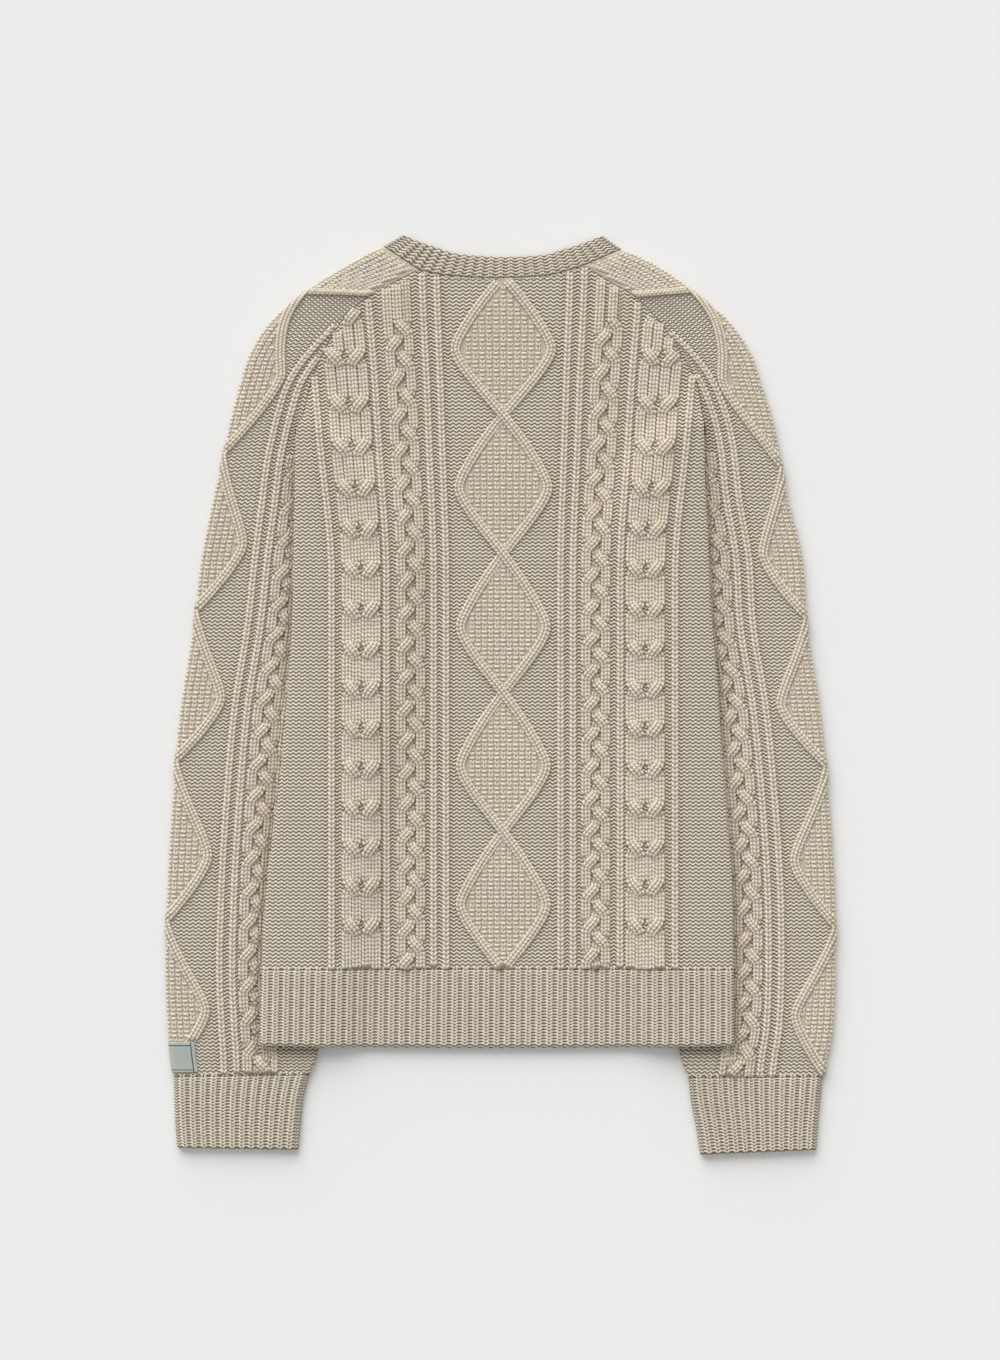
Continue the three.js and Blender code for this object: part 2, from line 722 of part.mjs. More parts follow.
// A sleeve or cuff is one sheet bent round its outer fold. A place on it is a distance from the
// fold on the back, an angle round the outer or the inner fold, or a share of the front's width.
function foldedPoint(at, hollow, place, outer, relief) {
  const width = sleeveWidth(at);
  const dirX = (at.foldX - at.backX) / width;
  const dirY = (at.foldY - at.backY) / width;
  const radius = hollow / 2 + WALL;
  const middle = WALL + hollow / 2;
  const reach = outer ? radius + relief : hollow / 2;
  if (place.angle !== undefined) {
    const turn = (place.angle * Math.PI) / 180;
    const sign = place.inner ? -1 : 1;
    const from = place.inner ? { x: at.backX, y: at.backY } : { x: at.foldX, y: at.foldY };
    const sideways = sign * (reach * Math.cos(turn) - radius);
    const up = Math.max(Math.sin(turn) * reach, outer ? -radius : -reach);
    const x = from.x + dirX * sideways;
    const y = from.y + dirY * sideways;
    return { x, y, z: middle + up, across: spot(place) };
  }
  if (place.share !== undefined) {
    const x = mix(at.foldX - dirX * radius, at.frontX, place.share);
    const y = mix(at.foldY - dirY * radius, at.frontY, place.share);
    return { x, y, z: middle - (outer ? radius : hollow / 2), across: 4 + place.share * 100 };
  }
  const x = at.foldX - dirX * place.distance;
  const y = at.foldY - dirY * place.distance;
  const drop = place.drop && outer ? place.drop : 0;
  return { x, y, z: middle + reach - drop, across: -place.distance };
}

function spot(place) {
  return place.inner ? (place.angle > 0 ? -1000 : 1000) + place.angle : -place.angle / 30;
}

function sleeveWidth(at) {
  return Math.hypot(at.foldX - at.backX, at.foldY - at.backY);
}

// The sleeve's sections stop a seam's gap short of the raglan seam.
function sleeveSection(table, s) {
  const at = section(table, s);
  const gap = SEAM_GAP * 1.25;
  const back = offsetPoint(at.backX, at.backY, at.foldX, at.foldY, gap);
  const front = offsetPoint(at.frontX, at.frontY, at.foldX, at.foldY, gap);
  return { ...at, backX: back.x, backY: back.y, frontX: front.x, frontY: front.y };
}

// How much of the sleeve's width shows beside the body, and past the hem.
function shownWidth(at, s) {
  const width = sleeveWidth(at);
  if (s < UNDERARM_SECTION) {
    return width;
  }
  const beside = Math.abs(at.foldX - sideX(Math.max(at.foldY, HEM_END), Math.sign(at.foldX)));
  return mix(beside, width + 20, smooth((HEM_END - 5 - at.foldY) / 12));
}

// The hollow is full near the fold, and closes toward the seam and under the body.
function sleeveHollow(at, s, distance) {
  const opened = smooth(s / 2) * (1 - smooth((s - 16.6) / 0.8));
  const full = mix(HOLLOW, SLEEVE_HOLLOW, opened);
  const least = mix(HOLLOW, TUCKED_HOLLOW, smooth((s - 6.2) / 0.7) * (1 - smooth((s - 16.8) / 0.6)));
  const closing = smooth((distance - shownWidth(at, s) + 28) / 20);
  return mix(full, least, closing);
}

// Relief sinks at the seams and before the sleeve goes under the body.
function sleeveShade(at, s, distance) {
  const ends = smooth(s / 0.4) * smooth((SLEEVE_END - s) / 0.3);
  const tucked = s > UNDERARM_SECTION - 0.5;
  const room = tucked ? (shownWidth(at, s) - distance - 1) / 6 : (sleeveWidth(at) - distance) / 4;
  const side = smooth(room) * smooth((sleeveWidth(at) - distance) / 4);
  const underPatch = at.foldX < 0 && s > 16.3 && s < 18 && distance < 26 ? 0 : 1;
  return ends * side * underPatch;
}

function closingHalf(closings, y) {
  let k = 0;
  while (k < closings.length - 2 && closings[k + 1] > y) {
    k += 1;
  }
  const t = (closings[k] - y) / (closings[k] - closings[k + 1]);
  return SLEEVE_DIAMOND_HALF_WIDTH * diamondSide(t);
}

// Columns on the back of a sleeve, by distance from the outer fold.
function sleeveColumns(closings, phase) {
  const line = (offset, height, least) => ({
    at: (at) => Math.max(least, closingHalf(closings, at.foldY) + offset * LINE_HALF_WIDTH),
    height: () => height,
    perRow: 2.6,
  });
  const rib = (offset, height) => ({ at: (at) => at.rib + offset, height: () => height, perRow: 1.5 });
  const plait = (offset, perRow) => ({
    at: (at) => at.rib + 28.3 + offset,
    height: (at) => plaitHeight(offset, at.foldY, phase),
    perRow,
  });
  return [
    line(-1, 0, 6),
    line(-0.45, LINE_HEIGHT, 7.5),
    line(0.45, LINE_HEIGHT, 9),
    line(1, 0, 10.5),
    rib(-4.6, 0),
    rib(-2.2, RIB_HEIGHT),
    rib(2.2, RIB_HEIGHT),
    rib(5.4, 0),
    rib(8.6, RIB_HEIGHT),
    rib(13, RIB_HEIGHT),
    rib(15.4, 0),
    plait(-12.2, 3),
    plait(-7.5, 12),
    plait(-1.5, 12),
    plait(5, 12),
    plait(12.2, 3),
    rib(43, RIB_HEIGHT),
    rib(46, 0),
  ];
}

const SLEEVE_END = LEFT_SLEEVE.length - 1;
const SEAM_MARGIN = 2.4;

// Evenly spaced sections along a sleeve.
function sections(from, to, perRow) {
  const count = Math.max(1, Math.round((to - from) * perRow));
  return Array.from({ length: count + 1 }, (unused, k) => mix(from, to, k / count));
}

// Where a column comes out of the raglan seam on its way to the cuff.
function columnStart(table, column) {
  let start = SLEEVE_END;
  for (let k = SLEEVE_END * 40; k >= 0; k -= 1) {
    const at = sleeveSection(table, k / 40);
    if (column.at(at) > sleeveWidth(at) - SEAM_MARGIN) {
      break;
    }
    start = k / 40;
  }
  return start;
}

// The part of the line beside the seam from one column's start to the next one's.
function insetBetween(inset, from, to) {
  const placeOf = (wanted) => inset.findIndex((point) => point.id === wanted.id);
  const first = from.key === 0 ? 0 : placeOf(from);
  return inset.slice(first, to ? placeOf(to) : inset.length);
}

function sleeve(name, table, closings, phase) {
  const shell = newShell();
  const along = (list, placeAt, outer, reliefAt) =>
    list.map((s) => {
      const at = sleeveSection(table, s);
      const place = placeAt(at, s);
      const distance = place.share === undefined ? place.distance || 0 : sleeveWidth(at) * place.share;
      const hollow = sleeveHollow(at, s, distance);
      const relief = reliefAt ? reliefAt(at) * sleeveShade(at, s, distance) : 0;
      const p = foldedPoint(at, hollow, place, outer, relief);
      return { ...addPoint(shell, p.x, p.y, p.z, s), across: p.across };
    });
  const edge = (at, s) => ({ distance: sleeveWidth(at), drop: 1.6 * smooth(s - UNDERARM_SECTION) });
  const borderList = [
    ...sections(0, UNDERARM_SECTION, SEAM_STEPS),
    ...sections(UNDERARM_SECTION, SLEEVE_END, 2).slice(1),
  ];
  const border = along(borderList, edge, true);
  const columns = sleeveColumns(closings, phase).map((column) => {
    const start = columnStart(table, column);
    const most = start === 0 ? 2 * SEAM_MARGIN : SEAM_MARGIN;
    const placeAt = (at) => ({ distance: Math.min(column.at(at), sleeveWidth(at) - most) });
    return along(sections(start, SLEEVE_END, column.perRow), placeAt, true, column.height);
  });
  const foldRelief = (at) => LINE_HEIGHT * smooth(1 - closingHalf(closings, at.foldY) / 9);
  const fan = [90, 45, 0, -45, -90].map((angle) =>
    along(sections(0, SLEEVE_END, 2.6), () => ({ angle }), true, angle > -50 ? foldRelief : undefined),
  );
  const under = [0.3, 0.65].map((share) => along(sections(0, SLEEVE_END, 1), () => ({ share }), true));
  const underEdge = along(borderList, () => ({ share: 1 }), true);
  const fromNeck = columns.filter((line) => line[0].key === 0).length;
  const beside = along(borderList, (at) => ({ distance: sleeveWidth(at) - SEAM_MARGIN }), true);
  const starts = columns.slice(fromNeck).map((line) => line[0]);
  const inset = [...beside, ...starts].sort((a, b) => a.key - b.key);
  join(shell, border, inset);
  const extended = columns.map((line, k) =>
    k < fromNeck ? line : [...insetBetween(inset, columns[k - 1][0], line[0]), ...line],
  );
  const tail = insetBetween(inset, columns.at(-1)[0]);
  join(shell, tail, columns.at(-1));
  for (let k = columns.length - 1; k > 0; k -= 1) {
    join(shell, extended[k], columns[k - 1]);
  }
  joinAll(shell, [columns[0], ...fan, ...under, underEdge], false);
  const inner = [
    along(borderList, edge, false),
    ...[0.8, 0.55, 0.3].map((part) =>
      along(sections(0, SLEEVE_END, 1), (at) => ({ distance: part * sleeveWidth(at) }), false),
    ),
    ...[90, 0, -90].map((angle) => along(sections(0, SLEEVE_END, 2), () => ({ angle }), false)),
    along(sections(0, SLEEVE_END, 1), () => ({ share: 0.5 }), false),
    along(borderList, () => ({ share: 1 }), false),
  ];
  joinAll(shell, inner, true);
  join(shell, inner[0], border);
  join(shell, underEdge, inner.at(-1));
  const bottom = [...fan, ...under, underEdge];
  const neckLines = [border, beside, ...columns.slice(0, fromNeck).reverse(), ...bottom];
  const cuffLines = [border, beside, ...[...columns].reverse(), ...bottom];
  join(shell, rim(neckLines, 0), rim(inner, 0));
  join(shell, rim(inner, -1), rim(cuffLines, -1));
  return toMesh(dropUnused(shell), name, WOOL);
}

// A cuff is a ribbed tube, flat under, with its ribs along it.
const CUFF_RIBS = 12;
const CUFF_HOLLOW = 1;

function cuffPlaces(width) {
  const places = [];
  const first = WALL + CUFF_HOLLOW / 2 + 1;
  const pitch = (width - 2 * first) / CUFF_RIBS;
  for (let k = CUFF_RIBS; k > 0; k -= 1) {
    places.push({ part: (first + k * pitch) / width, raised: 0 });
    places.push({ part: (first + (k - 0.3) * pitch) / width, raised: BAND_RIB_HEIGHT });
    places.push({ part: (first + (k - 0.75) * pitch) / width, raised: BAND_RIB_HEIGHT });
  }
  places.push({ part: first / width, raised: 0 });
  return places;
}

function cuff(name, table) {
  const shell = newShell();
  const along = (place, outer, raised) =>
    sections(0, table.length - 1, 1).map((s) => {
      const row = section(table, s);
      const at = { ...row, frontX: row.backX, frontY: row.backY };
      const width = sleeveWidth(at);
      const spotHere = place.part === undefined ? place : { distance: place.part * width };
      const p = foldedPoint(at, CUFF_HOLLOW, spotHere, outer, raised);
      return { ...addPoint(shell, p.x, p.y, p.z, s), across: place.order, raised: raised > 0 };
    });
  const width = sleeveWidth(table[0]);
  const outerPlaces = [
    { angle: 20, inner: true },
    { angle: 55, inner: true },
    { angle: 90, inner: true },
    ...cuffPlaces(width),
    ...[90, 55, 20, -20, -55, -90].map((angle) => ({ angle })),
    { share: 0.5 },
    { angle: -90, inner: true },
    { angle: -55, inner: true },
    { angle: -20, inner: true },
  ];
  const innerPlaces = [
    { angle: 0, inner: true },
    { angle: 90, inner: true },
    { part: 0.5, raised: 0 },
    { angle: 90 },
    { angle: 0 },
    { angle: -90 },
    { share: 0.5 },
    { angle: -90, inner: true },
  ];
  const order = (place) => {
    if (place.angle !== undefined) {
      return place.inner ? (place.angle >= 0 ? place.angle - 1000 : 1000 + place.angle) : -place.angle / 20;
    }
    return place.share !== undefined ? 500 * place.share : -900 * place.part;
  };
  const lines = (places, outer) =>
    places.map((place) => along({ ...place, order: order(place) }, outer, place.raised || 0));
  const outer = { shell, lines: lines(outerPlaces, true) };
  const inner = { shell, lines: lines(innerPlaces, false) };
  return stripWall(name, outer, inner, true, WOOL);
}

// The collar is a ring that lies flat: ribbed over the back, plain under it on the front.
const COLLAR_RIBS = 23;
const COLLAR_TURN = 0.2;

function collarSeam(at, neck, xColumn, yColumn) {
  const last = neck.length + 3;
  if (at >= 2 && at <= last - 2) {
    const on = section(neck, Math.min(at - 2, neck.length - 1));
    return { x: on.x, y: on.y };
  }
  const row = at < 2 ? LEFT_SLEEVE[0] : RIGHT_SLEEVE[0];
  const t = (at < 2 ? at : last - at) / 2;
  const turn = COLLAR_TURN / 2;
  const coreX = mix(row.foldX, row.backX, turn);
  const coreY = mix(row.foldY, row.backY, turn);
  const along = (t - turn) / (1 - turn);
  return { x: mix(coreX, row[xColumn], along), y: mix(coreY, row[yColumn], along) };
}

function collarColumn(shell, at, neck, free, xColumn, yColumn, angle, outer, raised, across) {
  const seam = collarSeam(at, neck, xColumn, yColumn);
  const edgeRow = section(free, at);
  const start = offsetPoint(seam.x, seam.y, edgeRow.x, edgeRow.y, SEAM_GAP * 1.3);
  const row = at < 2 ? LEFT_SLEEVE[0] : RIGHT_SLEEVE[0];
  const width = sleeveWidth(row);
  const reach = outer ? WALL + HOLLOW / 2 + raised : HOLLOW / 2;
  const turn = (angle * Math.PI) / 180;
  const outX = ((row.foldX - row.backX) / width) * Math.cos(turn) * reach;
  const outY = ((row.foldY - row.backY) / width) * Math.cos(turn) * reach;
  const z = WALL + HOLLOW / 2 + Math.sin(turn) * reach;
  return [0, 1].map((t) => {
    const x = mix(start.x, edgeRow.x, t) + outX;
    const y = mix(start.y, edgeRow.y, t) + outY;
    return { ...addPoint(shell, x, y, z, t), across, raised: raised > 0 };
  });
}

// Even steps along the collar's back seam.
function evenSteps(from, to, count) {
  const fine = sections(from, to, 20).map((at) => ({ at, ...collarSeam(at, BACK_NECK, "backX", "backY") }));
  const lengths = [0];
  for (let k = 1; k < fine.length; k += 1) {
    lengths.push(lengths[k - 1] + Math.hypot(fine[k].x - fine[k - 1].x, fine[k].y - fine[k - 1].y));
  }
  return Array.from({ length: count + 1 }, (unused, k) => {
    const wanted = (lengths.at(-1) * k) / count;
    const after = Math.max(1, lengths.findIndex((length) => length >= wanted - 1e-6));
    const t = (wanted - lengths[after - 1]) / (lengths[after] - lengths[after - 1]);
    return mix(fine[after - 1].at, fine[after].at, t);
  });
}

function collar() {
  const shell = newShell();
  const backEnd = BACK_NECK.length + 3;
  const frontEnd = FRONT_NECK.length + 3;
  const back = (at, angle, outer, raised, across) =>
    collarColumn(shell, at, BACK_NECK, COLLAR_BACK, "backX", "backY", angle, outer, raised, across);
  const front = (at, outer, across) =>
    collarColumn(shell, at, FRONT_NECK, COLLAR_FRONT, "frontX", "frontY", -90, outer, 0, across);
  const lines = (outer) => {
    const found = [];
    const from = COLLAR_TURN;
    const to = backEnd - COLLAR_TURN;
    const steps = outer ? evenSteps(from, to, COLLAR_RIBS * 4) : evenSteps(from, to, 24);
    steps.forEach((at, k) => {
      const place = k % 4;
      const onRib = outer && k > 3 && k < steps.length - 4 && (place === 1 || place === 3);
      const raised = onRib ? BAND_RIB_HEIGHT : 0;
      if (!outer || place !== 2) {
        found.push(back(at, 90, outer, raised, k / (steps.length - 1)));
      }
    });
    for (const angle of outer ? [55, 20, -20, -55] : [0]) {
      found.push(back(to, angle, outer, 0, 1.5 - angle / 200));
    }
    const corners = sections(2, frontEnd - 2, 2);
    const turns = [COLLAR_TURN, 1.1];
    const farTurns = turns.map((turn) => frontEnd - turn).reverse();
    for (const at of [...turns, ...corners, ...farTurns].reverse()) {
      found.push(front(at, outer, 2 + (frontEnd - at) / frontEnd));
    }
    for (const angle of outer ? [-55, -20, 20, 55] : [0]) {
      found.push(back(from, angle, outer, 0, 3.5 + angle / 200));
    }
    return found;
  };
  const outer = { shell, lines: lines(true) };
  const inner = { shell, lines: lines(false) };
  return stripWall("neck_rib", outer, inner, true, WOOL);
}

// The patch lies on the left sleeve, round its outer fold.
const PATCH = { from: 16.5, to: 17.8, reach: 21.5, thickness: 0.9 };

function patch() {
  const shell = newShell();
  const turns = [90, 55, 20, -20, -50].map((angle) => ({ angle }));
  const places = [{ distance: PATCH.reach }, { distance: 13 }, ...turns];
  const lines = (lifted) =>
    places.map((place) =>
      sections(PATCH.from, PATCH.to, 3).map((s) => {
        const at = sleeveSection(LEFT_SLEEVE, s);
        const hollow = sleeveHollow(at, s, place.distance || 0);
        const p = foldedPoint(at, hollow, place, true, lifted);
        return { ...addPoint(shell, p.x, p.y, p.z, s), across: p.across };
      }),
    );
  const outer = { shell, lines: lines(SEAM_GAP + PATCH.thickness) };
  const inner = { shell, lines: lines(SEAM_GAP) };
  return stripWall("sleeve_patch", outer, inner, false, PATCH_CLOTH);
}

// Puts the middle of the footprint at the origin.
function centred(group) {
  const box = new THREE.Box3().setFromObject(group);
  const middle = box.getCenter(new THREE.Vector3());
  group.children.forEach((mesh) => mesh.geometry.translate(-middle.x, -middle.y, -box.min.z));
  return group;
}

function sweater() {
  const group = new THREE.Group();
  group.add(backPanel());
  group.add(frontPanel());
  group.add(sleeve("left_sleeve", LEFT_SLEEVE, LEFT_CLOSINGS, PLAIT_PHASE_LEFT));
  group.add(sleeve("right_sleeve", RIGHT_SLEEVE, RIGHT_CLOSINGS, PLAIT_PHASE_RIGHT));
  group.add(collar());
  group.add(hemRib("hem_rib_back", hemPlaces(), bandTop, backUnder));
  group.add(hemRib("hem_rib_front", plainPlaces(), frontTop, frontUnder));
  group.add(cuff("left_cuff", LEFT_CUFF));
  group.add(cuff("right_cuff", RIGHT_CUFF));
  group.add(patch());
  return centred(group);
}

export default sweater();
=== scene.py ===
"""A cable knit sweater laid flat with its back up. Sizes are in millimetres until a mesh is made."""
import math
from functools import partial

import bpy
import numpy as np
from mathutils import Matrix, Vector


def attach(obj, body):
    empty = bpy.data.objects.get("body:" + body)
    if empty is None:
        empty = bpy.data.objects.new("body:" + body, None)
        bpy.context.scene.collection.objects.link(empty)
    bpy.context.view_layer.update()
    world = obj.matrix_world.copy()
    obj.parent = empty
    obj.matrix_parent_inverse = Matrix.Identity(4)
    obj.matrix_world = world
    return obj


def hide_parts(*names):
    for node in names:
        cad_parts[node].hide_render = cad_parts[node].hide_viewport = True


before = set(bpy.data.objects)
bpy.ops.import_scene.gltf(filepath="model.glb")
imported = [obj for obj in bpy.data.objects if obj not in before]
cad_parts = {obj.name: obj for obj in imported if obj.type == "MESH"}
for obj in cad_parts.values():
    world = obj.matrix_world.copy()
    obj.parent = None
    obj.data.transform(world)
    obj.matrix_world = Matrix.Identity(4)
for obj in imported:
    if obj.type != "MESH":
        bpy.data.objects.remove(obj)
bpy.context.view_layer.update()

# The frame's origin, in the coordinates of the tables below.
MIDDLE = np.array([0.43, 0.35, 0.0])

# Cloth walls, as in the solids.
WALL = 3.0
HOLLOW = 1.0
SEAM_GAP = 0.3
SLEEVE_HOLLOW = 2.0
TUCKED_HOLLOW = 0.6
CUFF_HOLLOW = 1.0

# How the body lies over the sleeves: how high, how far in from their edges and up from the underarm.
LIFT = 2 * WALL + TUCKED_HOLLOW + 0.6
LIFT_REACH = 40.0
LIFT_INSIDE = 9.0
LIFT_AHEAD = 15.0
LIFT_TOP = 46.0
LIFT_RUN = 40.0

# The body's middle, seams and side edges.
BODY_CENTRE = 2.5
HEM_SEAM = -233.7
HEM_END = -300.0
UNDERARM = 219.3
ROUND_EDGE = 5.0

# Rows of the sleeves' tables: at the underarm and at the cuff.
UNDERARM_SECTION = 7
SLEEVE_END = 18

# Yarn legs that lie on the raised patterns: how far they sink in, how far they slant, by the count of
# stitch columns, and their sizes as shares of a course and of a column.
LEG_SINK = 0.4
LEG_SLANT = {2: 0.5, 3: 0.34}
LEG_LENGTH = 1.5
LEG_WIDTH = 1.1
LEG_HEIGHT = 2.0
LEG_UNEVENNESS = 0.09
LEAST_LEG_LEVEL = 1.3

# The clear Vs of the hem, the cuffs and the neck.
V_SLANT = 0.75
V_LENGTH = 0.95
V_WIDTH = 1.25

# Stitches.
PURL_WALE = 4.95
PURL_COURSE = 3.15
CABLE_COURSE = 3.35
RIB_COURSE = 3.85
BAND_COURSE = 2.6
MOSS_WALE = 5.3
MOSS_COURSE = 3.7
MOSS_PURL_SIZE = (MOSS_WALE * 1.22, MOSS_COURSE * 0.92, 2.0)
MOSS_KNIT_SIZE = (MOSS_COURSE * 1.4, 2.3, 1.8)
MOSS_KNIT_APART = 0.95
MOSS_KNIT_LEAN = 0.3
MOSS_LEVEL = 0.25
MOSS_PURL_ROOM = 1.8
MOSS_KNIT_ROOM = 0.6

# Raised patterns: sizes of the strands, and places across the body and from the sleeve's fold.
RIB_HALF_WIDTH = 3.0
RIB_HEIGHT = 1.7
LINE_HALF_WIDTH = 4.3
LINE_HEIGHT = 2.5
CABLE_HEIGHT = 2.3
CABLE_HALF_WIDTH = 4.25
STRAND_DEPTH = LINE_HEIGHT + 1.2
STRAND_STEP = 8.3
DIAMOND_HALF_WIDTH = 36.4
DIAMOND_LENGTH = 118.1
DIAMOND_START = 1.7
SLEEVE_DIAMOND_HALF_WIDTH = 32.5
SLEEVE_DIAMOND_SKEW = 1.36
PLAIT_CENTRE = 78.5
SLEEVE_PLAIT_CYCLE = 81.0
SLEEVE_PLAIT_PHASE = {-1: 265.7, 1: 289.9}

HORSESHOE_CENTRE = 120.4
BODY_RIBS = (48.7, 59.2, 99.2, 145.6)
BODY_VALLEYS = (44.6, 54.0, 63.6, 94.8, 103.8, 140.9, 150.2)
SLEEVE_RIBS = (0.0, 10.8, 43.0)
SLEEVE_PLAIT = 28.3
SLEEVE_VALLEYS = (-4.2, 5.4, 15.0, 47.2)

# A line of the sleeve's diamonds has at least this many points, or is left out at the seam.
SHORTEST_LINE = 8

# Where the plaits on the body cross, counted in the horseshoes' crossings, and those crossings' form.
PLAIT_START = {-1: 0.37, 1: 4.64}
PLAIT_STEP = 0.4
CROSSING_RISE = 4.0
CROSSING_LENGTH = 15.0

# The bands: counts of ribs, depths, half widths of the V columns, and a rib's middle, half width and
# stitches as shares of its own width.
HEM_RIBS = 45
CUFF_RIBS = 12
COLLAR_RIBS = 23
HEM_DEPTH = 67.0
CUFF_DEPTH = 63.0
COLLAR_DEPTH = 17.0
HEM_V_HALF_WIDTH = 3.1
CUFF_V_HALF_WIDTH = 3.0
COLLAR_V_HALF_WIDTH = 2.3
BAND_RIB_HEIGHT = 1.4
RIB_MIDDLE = 0.45
RIB_REACH = 0.36
V_REACH = 0.34
COLLAR_V_REACH = 0.25
BAND_START = -0.6
COLLAR_START = -0.4
COLLAR_TURN = 0.2
COLUMNS_IN_RIB = 8

# The panels' columns follow the stitches this far from the middle.
COLUMN_REACH = 150.0

# Where strands start that are then cut at a seam.
PAST_SEAM = 375.0

# Wider than any sleeve, for the moss that fills the shoulder.
WHOLE_WIDTH = 80.0

# The woven patch: from where to where along the sleeve, in sections, and across its fold.
PATCH_ROWS = (16.5, 17.8)
PATCH_REACH = (21.5, -6.5)

# Colours of the wool where lit and of the painted shade in the hollows of its stitches, of the patch and
# of the floor.
WOOL_LIGHT = (0.755, 0.69, 0.565, 1)
WOOL_PAINTED_SHADE = (0.2, 0.122, 0.055, 1)
PATCH_LIGHT = (0.50, 0.55, 0.50, 1)
PATCH_LINE = (0.075, 0.095, 0.095, 1)
FLOOR_COLOUR = (0.83, 0.83, 0.82, 1)

# Depths of the bumps, in metres.
GROUND_RELIEF = 0.0015
HOLLOW_RELIEF = 0.0006
LEG_RELIEF = 0.0005
PATCH_RELIEF = 0.0002

# Light, and the camera over the middle of the photograph's frame, in metres.
SUN_STRENGTH = 3.3
SUN_WIDTH = math.radians(64)
SUN_DIRECTION = (0.27, -0.85, -0.46)
ROOM_STRENGTH = 0.53
CAMERA_PLACE = (-0.0008, 0.0124)
CAMERA_HEIGHT = 3.0
HALF_FRAME = 0.578

# Middles of the horseshoe's crossings, from the shoulder to the hem. The last one is only
# counted, as the horseshoe runs plain into the hem.
HORSESHOE_CROSSINGS = (
    318.0, 283.0, 243.0, 206.1, 170.8, 136.0, 102.0, 68.0, 34.0, 0.4, -33.2,
    -67.2, -100.7, -133.9, -166.6, -200.6, -234.0,
)


def table(names, *rows):
    """A short table as named columns."""
    return {name: np.array([row[k] for row in rows], float) for k, name in enumerate(names.split())}


SIDES = table(
    "y left right",
    (240, -174, 173),
    (180, -174.5, 174),
    (137, -175.5, 176.5),
    (76, -176.5, 179),
    (16, -180, 184),
    (-55, -185.5, 188.5),
    (-110, -192, 193),
    (-157, -198, 197),
    (-212, -202, 198),
    (-252, -203.5, 198.5),
    (-300, -204.5, 198.5),
)

# From the neck to the cuff: the outer fold, the edge on the back, the edge on the front, and how
# far the first rib lies from the fold.
LEFT_SLEEVE = table(
    "fold_x fold_y back_x back_y front_x front_y rib",
    (-99.9, 381.7, -69.3, 361.3, -77.8, 344.3, 72),
    (-132.2, 363.8, -89.7, 351.5, -97, 337, 70),
    (-163.6, 344.3, -109.2, 340.9, -114, 328, 67),
    (-193.4, 318.8, -133.9, 318.8, -135, 312, 59),
    (-211.7, 291.6, -150, 291.6, -150, 288, 50),
    (-221, 263.5, -160.7, 266, -160.7, 264, 41),
    (-227.8, 238, -167, 238.9, -167, 238, 38.8),
    (-232.5, 216.8, -173.4, 219.3, -173.4, 219.3, 38.6),
    (-237.6, 193, -151.7, 198, -151.7, 198, 39.1),
    (-244.4, 162.4, -126.2, 165.8, -126.2, 165.8, 42),
    (-253.7, 114.8, -105.8, 114.8, -105.8, 114.8, 45),
    (-260.5, 57, -103.3, 57, -103.3, 57, 45.6),
    (-271.6, -14.5, -111, -14.5, -111, -14.5, 45.6),
    (-278.4, -94.4, -125.4, -94.4, -125.4, -94.4, 45.6),
    (-282.6, -165.8, -138.1, -165.8, -138.1, -165.8, 45.6),
    (-284.3, -233.8, -148.3, -233.8, -148.3, -233.8, 45.6),
    (-282.6, -280.5, -152.6, -280.5, -152.6, -280.5, 45.6),
    (-280.5, -306, -155.6, -306, -155.6, -306, 45),
    (-278, -324.7, -162.8, -323, -162.8, -323, 43),
)
RIGHT_SLEEVE = table(
    "fold_x fold_y back_x back_y front_x front_y rib",
    (103.3, 379.1, 71.8, 365.5, 81.2, 347.7, 72),
    (133.9, 363.8, 92.2, 351.9, 99, 338, 70),
    (161.9, 344.3, 113.5, 339.2, 117, 328, 67),
    (192.5, 318.8, 135.6, 317, 136.5, 311, 59),
    (211.7, 291.6, 152.6, 291.6, 152.6, 288, 50),
    (221.4, 263.5, 166.2, 266.9, 166.2, 264, 41),
    (229.9, 238, 170.6, 240.6, 170.6, 239, 38.8),
    (235, 216.8, 173, 219.3, 173, 219.3, 38.6),
    (238.9, 193, 150.9, 198, 150.9, 198, 39.1),
    (245.2, 162.4, 127.1, 165.8, 127.1, 165.8, 42),
    (256.3, 114.8, 109.2, 114.8, 109.2, 114.8, 45),
    (260.5, 57, 107.5, 57, 107.5, 57, 45.6),
    (271.6, -14.5, 115.2, -14.5, 115.2, -14.5, 45.6),
    (279.2, -94.4, 128.8, -94.4, 128.8, -94.4, 45.6),
    (283.5, -165.8, 139, -165.8, 139, -165.8, 45.6),
    (284.3, -233.8, 146.6, -233.8, 146.6, -233.8, 45.6),
    (282.6, -280.5, 150, -280.5, 150, -280.5, 45.6),
    (278.4, -306, 152.6, -306, 152.6, -306, 45),
    (274.1, -324.7, 160.2, -325.6, 160.2, -325.6, 43),
)
SLEEVES = {-1: LEFT_SLEEVE, 1: RIGHT_SLEEVE}

# Where the sleeve's diamonds close on its outer fold.
CLOSINGS = {
    -1: (343.5, 206.0, 72.3, -55.3, -191.3, -318),
    1: (344.5, 194.0, 66.3, -59.5, -196.4, -322),
}

LEFT_CUFF = table(
    "fold_x fold_y back_x back_y",
    (-278, -325.1, -162.8, -323.4),
    (-277.5, -344.3, -167.5, -342.5),
    (-276.7, -365.5, -170, -363.8),
    (-275, -385, -172, -386.8),
)
RIGHT_CUFF = table(
    "fold_x fold_y back_x back_y",
    (274.1, -325.1, 160.2, -326),
    (272.4, -344.3, 162.4, -346.8),
    (270.3, -365.5, 166.6, -368.1),
    (269, -386.8, 170, -391),
)
CUFFS = {-1: LEFT_CUFF, 1: RIGHT_CUFF}
CUFF_ROWS = 3

